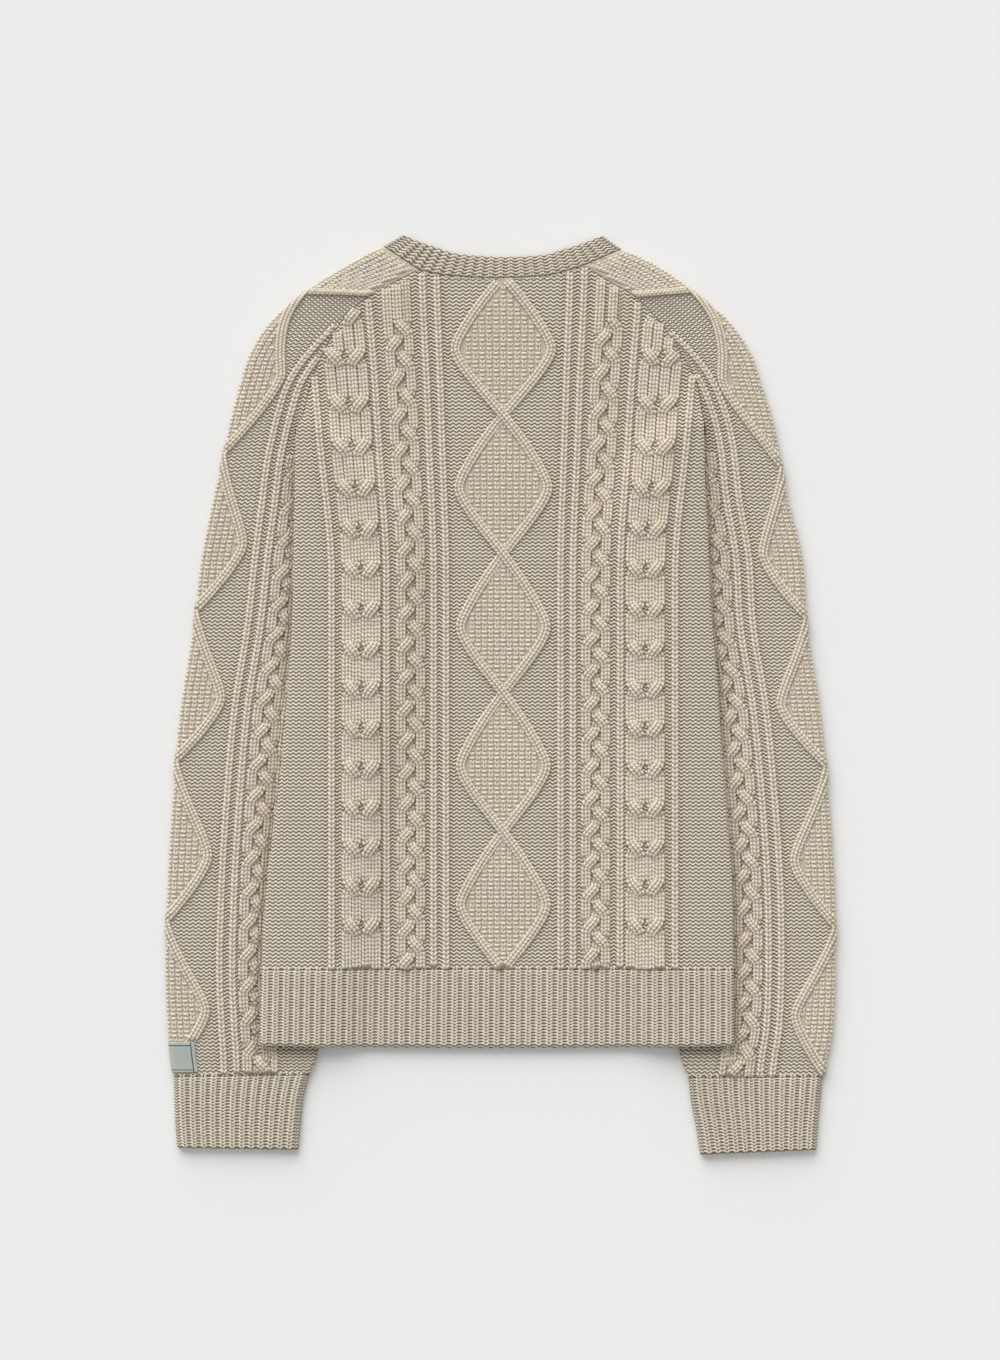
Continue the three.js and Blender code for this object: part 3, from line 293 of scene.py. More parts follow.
BACK_NECK = table(
    "x y",
    (-69.3, 361.3),
    (-51.4, 357.3),
    (-39.5, 356.2),
    (-14.9, 354.5),
    (3, 354.5),
    (23.4, 355.3),
    (43.8, 357.3),
    (58, 361),
    (71.8, 365.5),
)
FRONT_NECK = table(
    "x y",
    (-77.8, 344.3),
    (-74, 322),
    (-62, 298),
    (-44, 281),
    (-22, 271),
    (3, 268),
    (28, 271),
    (50, 281),
    (67, 298),
    (77, 322),
    (81.2, 347.7),
)
COLLAR_BACK = table(
    "x y",
    (-82.9, 391),
    (-68.4, 385.5),
    (-56, 381.5),
    (-43, 377),
    (-33, 375),
    (-12.5, 373.2),
    (3, 372.7),
    (21.7, 373.2),
    (40, 375),
    (51, 378.5),
    (63, 382),
    (74.5, 386),
    (86.3, 390.2),
)
COLLAR_FRONT = table(
    "x y",
    (-82.9, 391),
    (-71, 371),
    (-61.4, 354),
    (-55.4, 325.4),
    (-46.8, 309.4),
    (-33.4, 296.8),
    (-16.9, 289.3),
    (3, 287),
    (22.9, 289.3),
    (39.4, 296.8),
    (51.8, 309.4),
    (58.3, 325.4),
    (64.8, 357),
    (74.5, 371.5),
    (86.3, 390.2),
)

# Soft troughs and ridges of the cloth as it lies: middle, half sizes, slant in degrees and height.
FOLDS = table(
    "x y across along slant height",
    (-120, 190, 10, 60, 28, 0.9),
    (135, 196, 11, 62, -30, 0.8),
    (-60, 110, 70, 12, 8, 0.5),
    (70, 60, 80, 14, -10, 0.5),
    (-110, -30, 60, 13, -12, 0.6),
    (95, -90, 75, 14, 10, 0.6),
    (-20, -160, 90, 13, 4, 0.5),
    (-150, -120, 12, 70, -6, 0.7),
    (150, -20, 12, 80, 5, 0.7),
)


def smooth(value):
    """A soft step from 0 to 1."""
    t = np.clip(value, 0, 1)
    return t * t * (3 - 2 * t)


def mix(a, b, t):
    return a + (b - a) * t


def swell(away, reach):
    """A soft hump, 1 in its middle."""
    return np.exp(-((away / reach) ** 2))


def of_side(side, name):
    return ("left_" if side < 0 else "right_") + name


def between(values, row, t):
    """A smooth curve through a column's rows."""
    padded = np.concatenate([[2 * values[0] - values[1]], values, [2 * values[-1] - values[-2]]])
    before, a, b, after = (padded[row + k] for k in range(4))
    s = np.clip(t, -0.2, 1.2)
    rise = (b - before) / 2 * (s**3 - 2 * s**2 + s) + (after - a) / 2 * (s**3 - s**2)
    return a * (2 * s**3 - 3 * s**2 + 1) + b * (3 * s**2 - 2 * s**3) + rise


def section(rows, at):
    """Every column of a table at places counted in rows."""
    at = np.asarray(at, float)
    last = len(next(iter(rows.values()))) - 1
    row = np.clip(np.floor(at).astype(int), 0, last - 1)
    return {name: between(values, row, at - row) for name, values in rows.items()}


def read(keys, values, at):
    """A column at heights that fall from row to row."""
    row = np.clip(np.searchsorted(-keys, -np.asarray(at, float), side="right") - 1, 0, len(keys) - 2)
    return between(values, row, (at - keys[row]) / (keys[row + 1] - keys[row]))


def side_x(y, side):
    """The body's side edge."""
    return read(SIDES["y"], SIDES["left" if side < 0 else "right"], np.minimum(y, UNDERARM))


def sleeve_edge(y, side):
    """The distance from the middle to a sleeve's inner edge, which is hidden under the body."""
    hidden = {name: column[UNDERARM_SECTION:] for name, column in SLEEVES[side].items()}
    return np.abs(read(hidden["back_y"], hidden["back_x"], np.minimum(y, UNDERARM)))


def by_side(x, middle, value):
    """A value that is looked up on the side where each point lies."""
    return np.where(x < middle, value(-1), value(1))


def lift(x, y):
    """How the body rises over the sleeves that are tucked under it."""
    inside = by_side(x, 0, lambda side: sleeve_edge(y - LIFT_AHEAD, side)) - np.abs(x)
    low = smooth((UNDERARM + LIFT_TOP - y) / LIFT_RUN)
    return LIFT * low * (1 - smooth((inside - LIFT_INSIDE) / LIFT_REACH))


def from_side(x, y):
    """The distance from the body's nearer side edge."""
    return by_side(x, BODY_CENTRE, lambda side: side * (side_x(y, side) - x))


def below_underarm(y):
    return smooth((UNDERARM + 20 - y) / 20)


def edge_wall(x, y):
    """The back's thickness, which is rounded off at its side edges."""
    inward = np.clip(from_side(x, y) / ROUND_EDGE, 0, 1)
    rounded = 1 + (WALL - 1) * np.sqrt(1 - (1 - inward) ** 2)
    return mix(WALL, rounded, below_underarm(y))


def hollow_at(x, y):
    """The room between the back and the front, less at their side edges."""
    beside = mix(SEAM_GAP, HOLLOW, smooth(from_side(x, y) / 15))
    return mix(HOLLOW, beside, below_underarm(y))


def spread(y):
    """How much wider the patterns lie toward the shoulders."""
    return 1 + 0.085 * smooth((y - 100) / 160) + 0.085 * smooth((y - 225) / 150)


def folds(x, y):
    """Low, uneven swells of the cloth, none at its edges."""
    height = np.zeros(np.broadcast(x, y).shape)
    for k in range(len(FOLDS["x"])):
        turn = math.radians(FOLDS["slant"][k])
        dx, dy = x - FOLDS["x"][k], y - FOLDS["y"][k]
        across = (dx * math.cos(turn) + dy * math.sin(turn)) / FOLDS["across"][k]
        along = (dy * math.cos(turn) - dx * math.sin(turn)) / FOLDS["along"][k]
        height = height + FOLDS["height"][k] * np.exp(-(across**2) - along**2)
    ends = smooth((y - HEM_SEAM) / 20) * smooth((352 - y) / 20)
    return height * smooth((from_side(x, y) - 2) / 12) * ends


def back_under(x, y):
    return WALL + hollow_at(x, y) + lift(x, y) + folds(x, y)


def back_top(x, y):
    return back_under(x, y) + edge_wall(x, y)


def front_top(x, y):
    return WALL + lift(x, y)


def front_under(x, y):
    return WALL + lift(x, y) - edge_wall(x, y)


def points_of(x, y, z):
    return np.stack(np.broadcast_arrays(x, y, z), axis=-1).astype(float)


def stitch_places(wale, course, moss=0.0, painted_shade=0.0):
    """Each point's stitch column and course, whether it is in double moss, and how much painted shade
    darkens it.
    """
    return np.stack(np.broadcast_arrays(wale, course, moss, painted_shade), axis=-1).astype(float)


def faces_outward(upper, lower):
    """Whether the quads of a grid look away from the side below it."""
    normal = np.cross(upper[:-1, 1:] - upper[:-1, :-1], upper[1:, :-1] - upper[:-1, :-1])
    return np.sum(normal * (upper - lower)[:-1, :-1]) > 0


def put_attribute(mesh, name, kind, values):
    attribute = mesh.attributes.new(name, kind, "POINT")
    field = "vector" if kind == "FLOAT_VECTOR" else "value"
    attribute.data.foreach_set(field, np.ascontiguousarray(values, np.float32).ravel())


def new_object(name, data):
    made = bpy.data.objects.new(name, data)
    bpy.context.scene.collection.objects.link(made)
    return made


def add_piece(name, mesh):
    piece = new_object(name, mesh)
    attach(piece, "root")
    return piece


def new_mesh(name, points, faces, material):
    mesh = bpy.data.meshes.new(name)
    mesh.from_pydata(((points - MIDDLE) / 1000).tolist(), [], faces)
    mesh.shade_smooth()
    mesh.materials.append(material)
    return mesh


def grid_faces(ids, closed):
    """The quads of a grid of point numbers, closed to a ring or not."""
    right = np.roll(ids, -1, axis=1) if closed else ids[:, 1:]
    left = ids if closed else ids[:, :-1]
    return np.stack([left[:-1], right[:-1], right[1:], left[1:]], axis=-1).reshape(-1, 4)


def plain_faces(ids, every, closed):
    """Large faces for the hidden side, which keep each point of its border."""
    rows, columns = ids.shape
    row_cuts = sorted({*range(0, rows - 1, every), rows - 1})
    last = columns if closed else columns - 1
    column_cuts = sorted({*range(0, last, every), last})
    used = set()
    faces = []
    for r0, r1 in zip(row_cuts, row_cuts[1:]):
        for c0, c1 in zip(column_cuts, column_cuts[1:]):
            low = range(c0, c1) if r0 == 0 else [c0]
            high = range(c1, c0, -1) if r1 == rows - 1 else [c1]
            left = range(r1, r0, -1) if c0 == 0 and not closed else [r1]
            right = range(r0, r1) if c1 == last and not closed else [r0]
            loop = [ids[r0, c % columns] for c in low] + [ids[r, c1 % columns] for r in right]
            loop += [ids[r1, c % columns] for c in high] + [ids[r, c0] for r in left]
            faces.append([int(k) for k in loop[::-1]])
            used.update(faces[-1])
    return faces, used


def cloth(name, outer, inner, stitches, material, every=8, closed=False):
    """A thin closed shell from the outer and the inner side of a wall, both as rows of points."""
    rows, columns = outer.shape[:2]
    count = rows * columns
    outer_ids = np.arange(count).reshape(rows, columns)
    inner_ids = outer_ids + count
    hidden, used = plain_faces(inner_ids, every, closed)
    quads = [grid_faces(outer_ids, closed)]
    border = [(outer_ids[0], inner_ids[0]), (outer_ids[-1][::-1], inner_ids[-1][::-1])]
    if not closed:
        border += [(outer_ids[::-1, 0], inner_ids[::-1, 0]), (outer_ids[:, -1], inner_ids[:, -1])]
    for upper, lower in border:
        after = np.roll(np.arange(len(upper)), -1) if closed else np.arange(1, len(upper))
        before = np.arange(len(after))
        quads.append(np.stack([upper[after], upper[before], lower[before], lower[after]], axis=-1))
    points = np.concatenate([outer.reshape(-1, 3), inner.reshape(-1, 3)])
    places = np.concatenate([stitches.reshape(-1, 4)] * 2)
    keep = np.zeros(2 * count, bool)
    keep[:count] = True
    keep[sorted(used)] = True
    new_id = np.cumsum(keep) - 1
    faces = new_id[np.concatenate(quads)].tolist() + [new_id[face].tolist() for face in hidden]
    if not faces_outward(outer, inner):
        faces = [face[::-1] for face in faces]
    mesh = new_mesh(name, points[keep], faces, material)
    put_attribute(mesh, "stitch", "FLOAT_VECTOR", places[keep, :3])
    put_attribute(mesh, "painted_shade", "FLOAT", places[keep, 3])
    return add_piece(name, mesh)


def unit(vectors):
    return vectors / np.linalg.norm(vectors, axis=1)[:, None]


def strand_surface(path, place):
    """The crowned top of a strand, at shares across it from -1 to 1 and lengths along it."""
    line = path["line"]
    step = unit(np.gradient(line, axis=0))
    length = np.concatenate([[0], np.cumsum(np.linalg.norm(np.diff(line, axis=0), axis=1))])

    def top(across, along, extra=0.0):
        x, y = (np.interp(along, length, line[:, k]) for k in (0, 1))
        dx, dy = (np.interp(along, length, step[:, k]) for k in (0, 1))
        crown, level, rounded, half = (
            np.interp(along, length, path[k]) for k in ("crown", "level", "round", "half"))
        full = np.sqrt(np.clip(1 - np.abs(across) ** 14, 0, 1))
        arch = np.sqrt(np.clip(1 - np.abs(across) ** 2.2, 0, 1))
        reach = across * half
        return place(x - dy * reach, y + dx * reach, level + crown * mix(full, arch, rounded) + extra)

    return top, length[-1]


def leg_form(band, bands, course):
    """How far a leg slants, and its size."""
    if course == BAND_COURSE:
        sideways = V_SLANT / math.hypot(1, V_SLANT)
        size = (V_LENGTH * band / sideways, V_WIDTH * course * sideways, LEG_HEIGHT)
        return V_SLANT, np.array(size)
    return LEG_SLANT[bands], np.array([course * LEG_LENGTH, band * LEG_WIDTH, LEG_HEIGHT])


def legs_on(top, length, half, bands, course, painted_shade=None, first=0.5):
    """Slanting legs in bands along a surface: place, direction, upward side, size and painted shade."""
    slant, size = leg_form(2 * half / bands, bands, course)
    along = np.arange(first, length / course - 0.3) * course
    found = []
    for band in range(bands):
        lean = 1 if band % 2 else -1
        across = np.full(len(along), (2 * band + 1) / bands - 1)
        middle = top(across, along, -LEG_SINK)
        down = unit(top(across, along + 0.5, -LEG_SINK) - middle)
        sideways = unit(top(across + 0.06, along, -LEG_SINK) - middle)
        up = np.cross(sideways, down)
        outward = np.sum(up * (top(across, along, 1.0) - middle), axis=1)
        up *= np.sign(outward)[:, None]
        low = np.zeros(len(along)) if painted_shade is None else painted_shade(along)
        found.append((middle, down - lean * slant * sideways, up,
                      np.tile(size, (len(along), 1)), low))
    return [np.concatenate(parts) for parts in zip(*found)]


def shade_along(path, length):
    """How much painted shade darkens a strand, at lengths along it."""
    stations = np.linspace(0, length, len(path["painted_shade"]))
    return lambda along: np.interp(along, stations, path["painted_shade"])


def strands(name, paths, place, material, yarn):
    """Crowned strands that lie on a surface, covered with knit legs. Each path has its middle line,
    half width, crown, level over the surface, count of stitch columns and course length."""
    all_points, all_faces, all_legs = [], [], []
    start = 0
    for path in paths:
        top, length = strand_surface(path, place)
        offsets = np.sin(np.linspace(-math.pi / 2, math.pi / 2, 3 + 2 * path["bands"]))[None, :]
        along = np.linspace(0, length, int(length / path["course"] * 1.2))[:, None]
        crest = top(offsets, along)
        under = top(np.array([[0.8, -0.8]]), along, -STRAND_DEPTH)
        ring = np.concatenate([crest, under], axis=1)
        rows, across = ring.shape[:2]
        ids = np.arange(rows * across).reshape(rows, across) + start
        faces = grid_faces(ids, True).tolist() + [ids[0][::-1].tolist(), ids[-1].tolist()]
        inside = crest[:, 1:-1]
        if not faces_outward(inside, np.repeat(under[:, :1], inside.shape[1], axis=1)):
            faces = [face[::-1] for face in faces]
        all_points.append(ring.reshape(-1, 3))
        all_faces += faces
        all_legs.append(legs_on(top, length, path["half"].mean(), path["bands"], path["course"],
                                shade_along(path, length)))
        start += rows * across
    return with_legs(name, all_legs, material, yarn, np.concatenate(all_points), all_faces)


def with_legs(name, legs, material, yarn, points=np.zeros((0, 3)), faces=()):
    """Yarn legs, which Geometry Nodes set on loose points, and the mesh under them where it has one."""
    middle, along, up, size, painted_shade = (np.concatenate(parts) for parts in zip(*legs))
    high = middle[:, 2] > LEAST_LEG_LEVEL
    middle, along, up, size, painted_shade = (values[high] for values in (middle, along, up, size, painted_shade))
    none = np.zeros((len(points), 3))
    mesh = new_mesh(name, np.concatenate([points, middle]), faces, material)
    for kind, values in (("along", along), ("up", up), ("size", size / 1000)):
        put_attribute(mesh, kind, "FLOAT_VECTOR", np.concatenate([none, values]))
    put_attribute(mesh, "leg spot", "FLOAT", np.repeat([0.0, 1.0], [len(points), len(middle)]))
    # Painted shade: the mesh under the legs is marked fully shaded, each leg as its strand is.
    put_attribute(mesh, "painted_shade", "FLOAT", np.concatenate([np.ones(len(points)), painted_shade]))
    draft = new_object(name + "_draft", mesh)
    modifier = draft.modifiers.new("legs", "NODES")
    modifier.node_group = bpy.data.node_groups["yarn legs"]
    inputs = {item.name: item.identifier for item in modifier.node_group.interface.items_tree}
    modifier[inputs["Unevenness"]] = LEG_UNEVENNESS
    modifier[inputs["Seed"]] = len(middle) % 97
    modifier[inputs["Yarn"]] = yarn
    ready = draft.evaluated_get(bpy.context.evaluated_depsgraph_get())
    finished = bpy.data.meshes.new_from_object(ready)
    finished.name = name + "_knit"
    bpy.data.objects.remove(draft)
    return add_piece(name, finished)


def strand(x, y, half, crown, level=0.0, bands=3, course=CABLE_COURSE, roundness=1.0, painted_shade=0.0):
    """One path for the function strands, with a value for each point of its line."""
    size = np.zeros(len(x))
    return {
        "line": np.stack([x, y], axis=1),
        "half": half + size,
        "crown": crown + size,
        "level": level + size,
        "round": roundness + size,
        "painted_shade": painted_shade + size,
        "bands": bands,
        "course": course,
    }


def plait_path(t):
    """Where a strand is, from -1 to 1, and how high it passes, at a place counted in crossings."""
    turn = (t + 1) % 6 - 1
    moved = [smooth((turn - at) / 0.95 + 0.5) for at in (-1, 0, 2, 3, 5)]
    away = moved[0] - 1 + moved[1] - moved[2] - moved[3] + moved[4]
    over = sum(swell(turn - at, 0.45) for at in (0, 3))
    under = sum(swell(turn - at, 0.45) for at in (-1, 2, 5))
    return away, over - under


def plait(turns, side):
    """Three strands, each over toward a side and under toward the middle: place and height."""
    found = []
    for k in range(3):
        away, over = plait_path(turns + 2 * k)
        found.append((side * STRAND_STEP * away, over))
    return found


def plait_strand(x, y, over, ends=1.0):
    """A strand of a plait, high where it passes over and darkened with painted shade where it goes
    under.
    """
    crown = (CABLE_HEIGHT + 0.9 * np.maximum(over, 0)) * ends
    level = (1.1 * np.maximum(over, 0) + 0.9 * np.minimum(over, 0) - 0.3) * ends
    hidden = np.maximum(-over, 0)
    return strand(x, y, CABLE_HALF_WIDTH - 0.3 * hidden, crown, level,
                  roundness=0.5 + 0.5 * np.abs(over), painted_shade=1.2 * hidden)


def link(tree, value, socket):
    if isinstance(value, bpy.types.NodeSocket):
        tree.links.new(value, socket)
    else:
        socket.default_value = value


def node(tree, kind, inputs, **settings):
    """A node with its settings made, then its inputs linked or set, by name or by number."""
    made = tree.nodes.new(kind)
    for name, value in settings.items():
        setattr(made, name, value)
    for socket, value in inputs.items():
        link(tree, value, made.inputs[socket])
    return made.outputs


def calculate(tree, operation, a, b=0.0, c=0.0):
    return node(tree, "ShaderNodeMath", {0: a, 1: b, 2: c}, operation=operation)[0]


def bump_row(maths, phase, power):
    """A rounded row with a thin gap on each side, from 0 to 1."""
    wave = maths("SINE", maths("MULTIPLY", maths("FRACT", phase), math.pi))
    return maths("POWER", maths("MAXIMUM", wave, 0.001), power)


def purl_height(maths, wale, course):
    """Wavy rows of purl bumps."""
    wave = maths("COSINE", maths("MULTIPLY", wale, 2 * math.pi))
    row = bump_row(maths, maths("MULTIPLY_ADD", wave, 0.24, course), 1.15)
    return maths("MULTIPLY", row, maths("MULTIPLY_ADD", wave, 0.16, 1.2))


def blend(maths, a, b, factor):
    return maths("MULTIPLY_ADD", maths("SUBTRACT", b, a), factor, a)


def noise(tree, place, scale, detail=2.0):
    inputs = {"Scale": scale, "Detail": detail, "Vector": place}
    return node(tree, "ShaderNodeTexNoise", inputs)["Fac"]


def mixed_colour(tree, factor, a, b):
    inputs = {"Factor": factor, "A": a, "B": b}
    return node(tree, "ShaderNodeMix", inputs, data_type="RGBA")["Result"]


def named(tree, name):
    return node(tree, "ShaderNodeAttribute", {}, attribute_name=name)


def three_parts(tree, name):
    """The three numbers of a vector attribute."""
    return node(tree, "ShaderNodeSeparateXYZ", {0: named(tree, name)["Vector"]})


def new_group(name, kind, inputs, outputs):
    """An empty node group and the sockets inside it, for inputs and outputs named with their kinds."""
    tree = bpy.data.node_groups.new(name, kind)
    for way, sockets in (("INPUT", inputs), ("OUTPUT", outputs)):
        for socket, socket_kind in sockets:
            tree.interface.new_socket(socket, in_out=way, socket_type="NodeSocket" + socket_kind)
    return tree, tree.nodes.new("NodeGroupInput").outputs, tree.nodes.new("NodeGroupOutput").inputs


def wool_group():
    """The colour and relief of wool, from the height of its stitches: its hollows are darkened with
    painted shade, more so by the third input, and a fine fuzz.
    """
    inputs = (("Place", "Vector"), ("Height", "Float"), ("Painted Shade", "Float"))
    outputs = (("Colour", "Color"), ("Relief", "Float"))
    tree, given, result = new_group("wool fibres", "ShaderNodeTree", inputs, outputs)
    maths = partial(calculate, tree)
    fuzz = noise(tree, given["Place"], 900, 3.0)
    cloudy = noise(tree, given["Place"], 14)
    # Painted shade: the lower the height and the higher the third input, the darker the colour.
    darker = maths("MULTIPLY_ADD", given["Painted Shade"], 1.5, 0.7)
    shade = maths("POWER", given["Height"], darker)
    shade = maths("MULTIPLY_ADD", fuzz, 0.22, shade)
    shade = maths("MULTIPLY_ADD", cloudy, 0.10, shade)
    shade = maths("MINIMUM", maths("SUBTRACT", shade, 0.16), 1.0)
    shade = maths("MAXIMUM", shade, 0.0)
    link(tree, mixed_colour(tree, shade, WOOL_PAINTED_SHADE, WOOL_LIGHT), result["Colour"])
    link(tree, maths("MULTIPLY_ADD", fuzz, 0.35, given["Height"]), result["Relief"])
    return tree


def leg_tree():
    """Geometry Nodes: a rounded leg of yarn on each loose point, turned along the point's direction."""
    inputs = (("Cloth", "Geometry"), ("Unevenness", "Float"), ("Seed", "Int"), ("Yarn", "Material"))
    outputs = (("Knit", "Geometry"),)
    tree, given, result = new_group("yarn legs", "GeometryNodeTree", inputs, outputs)

    def read_point(name, kind="FLOAT_VECTOR"):
        return node(tree, "GeometryNodeInputNamedAttribute", {"Name": name}, data_type=kind)["Attribute"]

    def step(kind, inputs, output, **settings):
        return node(tree, "GeometryNode" + kind, inputs, **settings)[output]

    is_leg = read_point("leg spot", "FLOAT")
    split = node(tree, "GeometryNodeSeparateGeometry",
                 {"Geometry": given["Cloth"], "Selection": is_leg}, domain="POINT")
    leg = step("MeshIcoSphere", {"Radius": 0.5, "Subdivisions": 1}, "Mesh")
    leg = step("SetShadeSmooth", {"Geometry": leg}, "Geometry")
    spot = step("InputPosition", {}, "Position")
    leg = step("StoreNamedAttribute", {"Name": "leg", "Geometry": leg, "Value": spot}, "Geometry",
               data_type="FLOAT_VECTOR")
    turned = node(tree, "FunctionNodeAlignRotationToVector", {"Vector": read_point("along")}, axis="X")
    rolled = node(tree, "FunctionNodeAlignRotationToVector",
                  {"Rotation": turned["Rotation"], "Vector": read_point("up")}, axis="Z", pivot_axis="X")
    chance = node(tree, "FunctionNodeRandomValue", {2: -1.0, 3: 1.0, "Seed": given["Seed"]},
                  data_type="FLOAT")
    factor = calculate(tree, "MULTIPLY_ADD", chance[1], given["Unevenness"], 1.0)
    sized = node(tree, "ShaderNodeVectorMath", {0: read_point("size"), "Scale": factor},
                 operation="SCALE")
    placed = {"Points": split["Selection"], "Instance": leg, "Rotation": rolled["Rotation"],
              "Scale": sized["Vector"]}
    legs = step("InstanceOnPoints", placed, "Instances")
    joined = tree.nodes.new("GeometryNodeJoinGeometry")
    link(tree, legs, joined.inputs["Geometry"])
    link(tree, split["Inverted"], joined.inputs["Geometry"])
    real = step("RealizeInstances", {"Geometry": joined.outputs["Geometry"]}, "Geometry")
    knit = step("SetMaterial", {"Geometry": real, "Selection": is_leg, "Material": given["Yarn"]},
                "Geometry")
    link(tree, knit, result["Knit"])
    return tree


def new_material(name):
    material = bpy.data.materials.new(name)
    material.use_nodes = True
    tree = material.node_tree
    return material, tree, tree.nodes["Principled BSDF"]


def finish(tree, shader, colour, relief, depth, **values):
    """A shader's colour, its bump of a depth in metres, and its plain values."""
    bump = node(tree, "ShaderNodeBump", {"Distance": depth, "Height": relief})
    link(tree, colour, shader.inputs["Base Color"])
    link(tree, bump["Normal"], shader.inputs["Normal"])
    for name, value in values.items():
        shader.inputs[name.replace("_", " ")].default_value = value


def wool(fibres, height, painted_shade, tree, shader, depth):
    """Soft matt wool on a height made by the calling function, darkened by the painted shade it is
    given.
    """
    place = node(tree, "ShaderNodeTexCoord", {})["Object"]
    knit = tree.nodes.new("ShaderNodeGroup")
    knit.node_tree = fibres
    for name, value in (("Place", place), ("Height", height), ("Painted Shade", painted_shade)):
        link(tree, value, knit.inputs[name])
    finish(tree, shader, knit.outputs["Colour"], knit.outputs["Relief"], depth,
           Roughness=0.92, Sheen_Weight=0.15, Sheen_Roughness=0.6, Specular_IOR_Level=0.2)


def ground_wool(fibres):
    """Rows of purl bumps whose gaps are darkened with painted shade, plain where legs of yarn lie on
    them.
    """
    material, tree, shader = new_material("purl wool")
    maths = partial(calculate, tree)
    wale, course, covered = three_parts(tree, "stitch")
    height = blend(maths, purl_height(maths, wale, course), 0.5, maths("GREATER_THAN", covered, 0.5))
    wool(fibres, height, named(tree, "painted_shade")["Fac"], tree, shader, GROUND_RELIEF)
    return material


def hollow_wool(fibres):
    """The cloth between the legs of yarn, in one darker colour as painted shade."""
    material, tree, shader = new_material("hollow wool")
    wool(fibres, 0.5, 0.6, tree, shader, HOLLOW_RELIEF)
    return material


def leg_wool(fibres):
    """A leg of plied yarn, its colour painted: light along its back, with painted shade at its sides and
    ends, in its twist and where it goes under.
    """
    material, tree, shader = new_material("yarn wool")
    maths = partial(calculate, tree)
    along, across, _ = three_parts(tree, "leg")
    ends = maths("POWER", maths("ABSOLUTE", maths("MULTIPLY", along, 2.0)), 3.0)
    sides = maths("POWER", maths("ABSOLUTE", maths("MULTIPLY", across, 2.0)), 2.0)
    twist = maths("SINE", maths("MULTIPLY_ADD", along, 26.0, maths("MULTIPLY", across, 14.0)))
    height = maths("MULTIPLY_ADD", ends, -0.3, 0.86)
    height = maths("MULTIPLY_ADD", sides, -0.25, height)
    height = maths("MAXIMUM", maths("MULTIPLY_ADD", twist, 0.06, height), 0.05)
    wool(fibres, height, named(tree, "painted_shade")["Fac"], tree, shader, LEG_RELIEF)
    return material


def body_columns():
    """Places across half a panel: by distance from its middle, then by share up to its side."""
    inner = np.linspace(0, COLUMN_REACH, 64)
    outer = 1 - np.linspace(1, 0, 18)[1:] ** 1.7
    return inner, outer


def column_x(side, inner, share, y):
    """A column's place: its distance from the middle, then a share of what is left to the side."""
    x = BODY_CENTRE + side * inner * spread(y)
    return mix(x, side_x(y, side), share)


def panel_grid(border, rows):
    """Rows of points from the hem seam to the border, in columns that follow the stitches."""
    inner, outer = body_columns()
    near = np.concatenate([inner, np.full(len(outer), COLUMN_REACH)])
    share = np.concatenate([np.zeros(len(inner)), outer])
    x_parts, y_parts = [], []
    for side in (-1, 1):
        low = np.full(len(near), UNDERARM - 30)
        high = np.full(len(near), 380.0)
        for _ in range(30):
            half = (low + high) / 2
            inside = np.interp(column_x(side, near, share, half), border[0], border[1]) > half
            low = np.where(inside, half, low)
            high = np.where(inside, high, half)
        top = np.where(share == 1, UNDERARM, low)
        y = mix(HEM_SEAM + SEAM_GAP, top[None, :], np.linspace(0, 1, rows)[:, None])
        x = column_x(side, near[None, :], share[None, :], y)
        if side < 0:
            x, y = x[:, :0:-1], y[:, :0:-1]
        x_parts.append(x)
        y_parts.append(y)
    return np.concatenate(x_parts, axis=1), np.concatenate(y_parts, axis=1)


def seam_border(x_name, y_name, neck):
    """A panel's upper border: up one raglan seam, along the neck and down the other seam."""
    at = np.linspace(UNDERARM_SECTION, 0, 60)
    left = section(LEFT_SLEEVE, at)
    right = section(RIGHT_SLEEVE, at[::-1])
    middle = section(neck, np.linspace(0, len(neck["x"]) - 1, 40)[1:-1])
    x = np.concatenate([left[x_name], middle["x"], right[x_name]])
    y = np.concatenate([left[y_name], middle["y"], right[y_name]])
    return x, y


SEAM_X, SEAM_Y = seam_border("back_x", "back_y", BACK_NECK)


def diamond_side(turn):
    """A nearly straight line out and back, rounded at its tip, from -1 to 1."""
    wave = np.sin(turn)
    return 0.3 * wave + 0.7 * np.arcsin(0.985 * wave) / math.asin(0.985)


def diamond_turn(y):
    """The place along the diamonds, half a turn to each; their tips lie a little below the middle."""
    turn = math.pi * (y - DIAMOND_START) / DIAMOND_LENGTH
    return turn + 0.08 * np.sin(turn) ** 2


def diamond_half(y):
    return DIAMOND_HALF_WIDTH * np.abs(diamond_side(diamond_turn(y)))


def body_stitches(x, y):
    """The panels' stitches, with painted shade beside the ribs and in the eyelets along the diamonds."""
    away = (x - BODY_CENTRE) / spread(y)
    moss = (np.abs(away) < diamond_half(y)) * 1.0
    painted_shade = sum(0.7 * swell(np.abs(away) - at, 2.0) for at in BODY_VALLEYS)
    beside = np.abs(away) - diamond_half(y) - LINE_HALF_WIDTH - 0.8
    eyelets = 0.5 + 0.5 * np.cos(math.pi * y / PURL_COURSE)
    painted_shade = painted_shade + swell(beside, 1.1) * (0.4 + 1.2 * eyelets)
    return stitch_places(away / PURL_WALE + 0.5, y / PURL_COURSE, moss, painted_shade)


def back_panel(material):
    x, y = panel_grid((SEAM_X, SEAM_Y), 210)
    outer = points_of(x, y, back_top(x, y))
    inner = points_of(x, y, back_under(x, y))
    return cloth("back_ground", outer, inner, body_stitches(x, y), material)


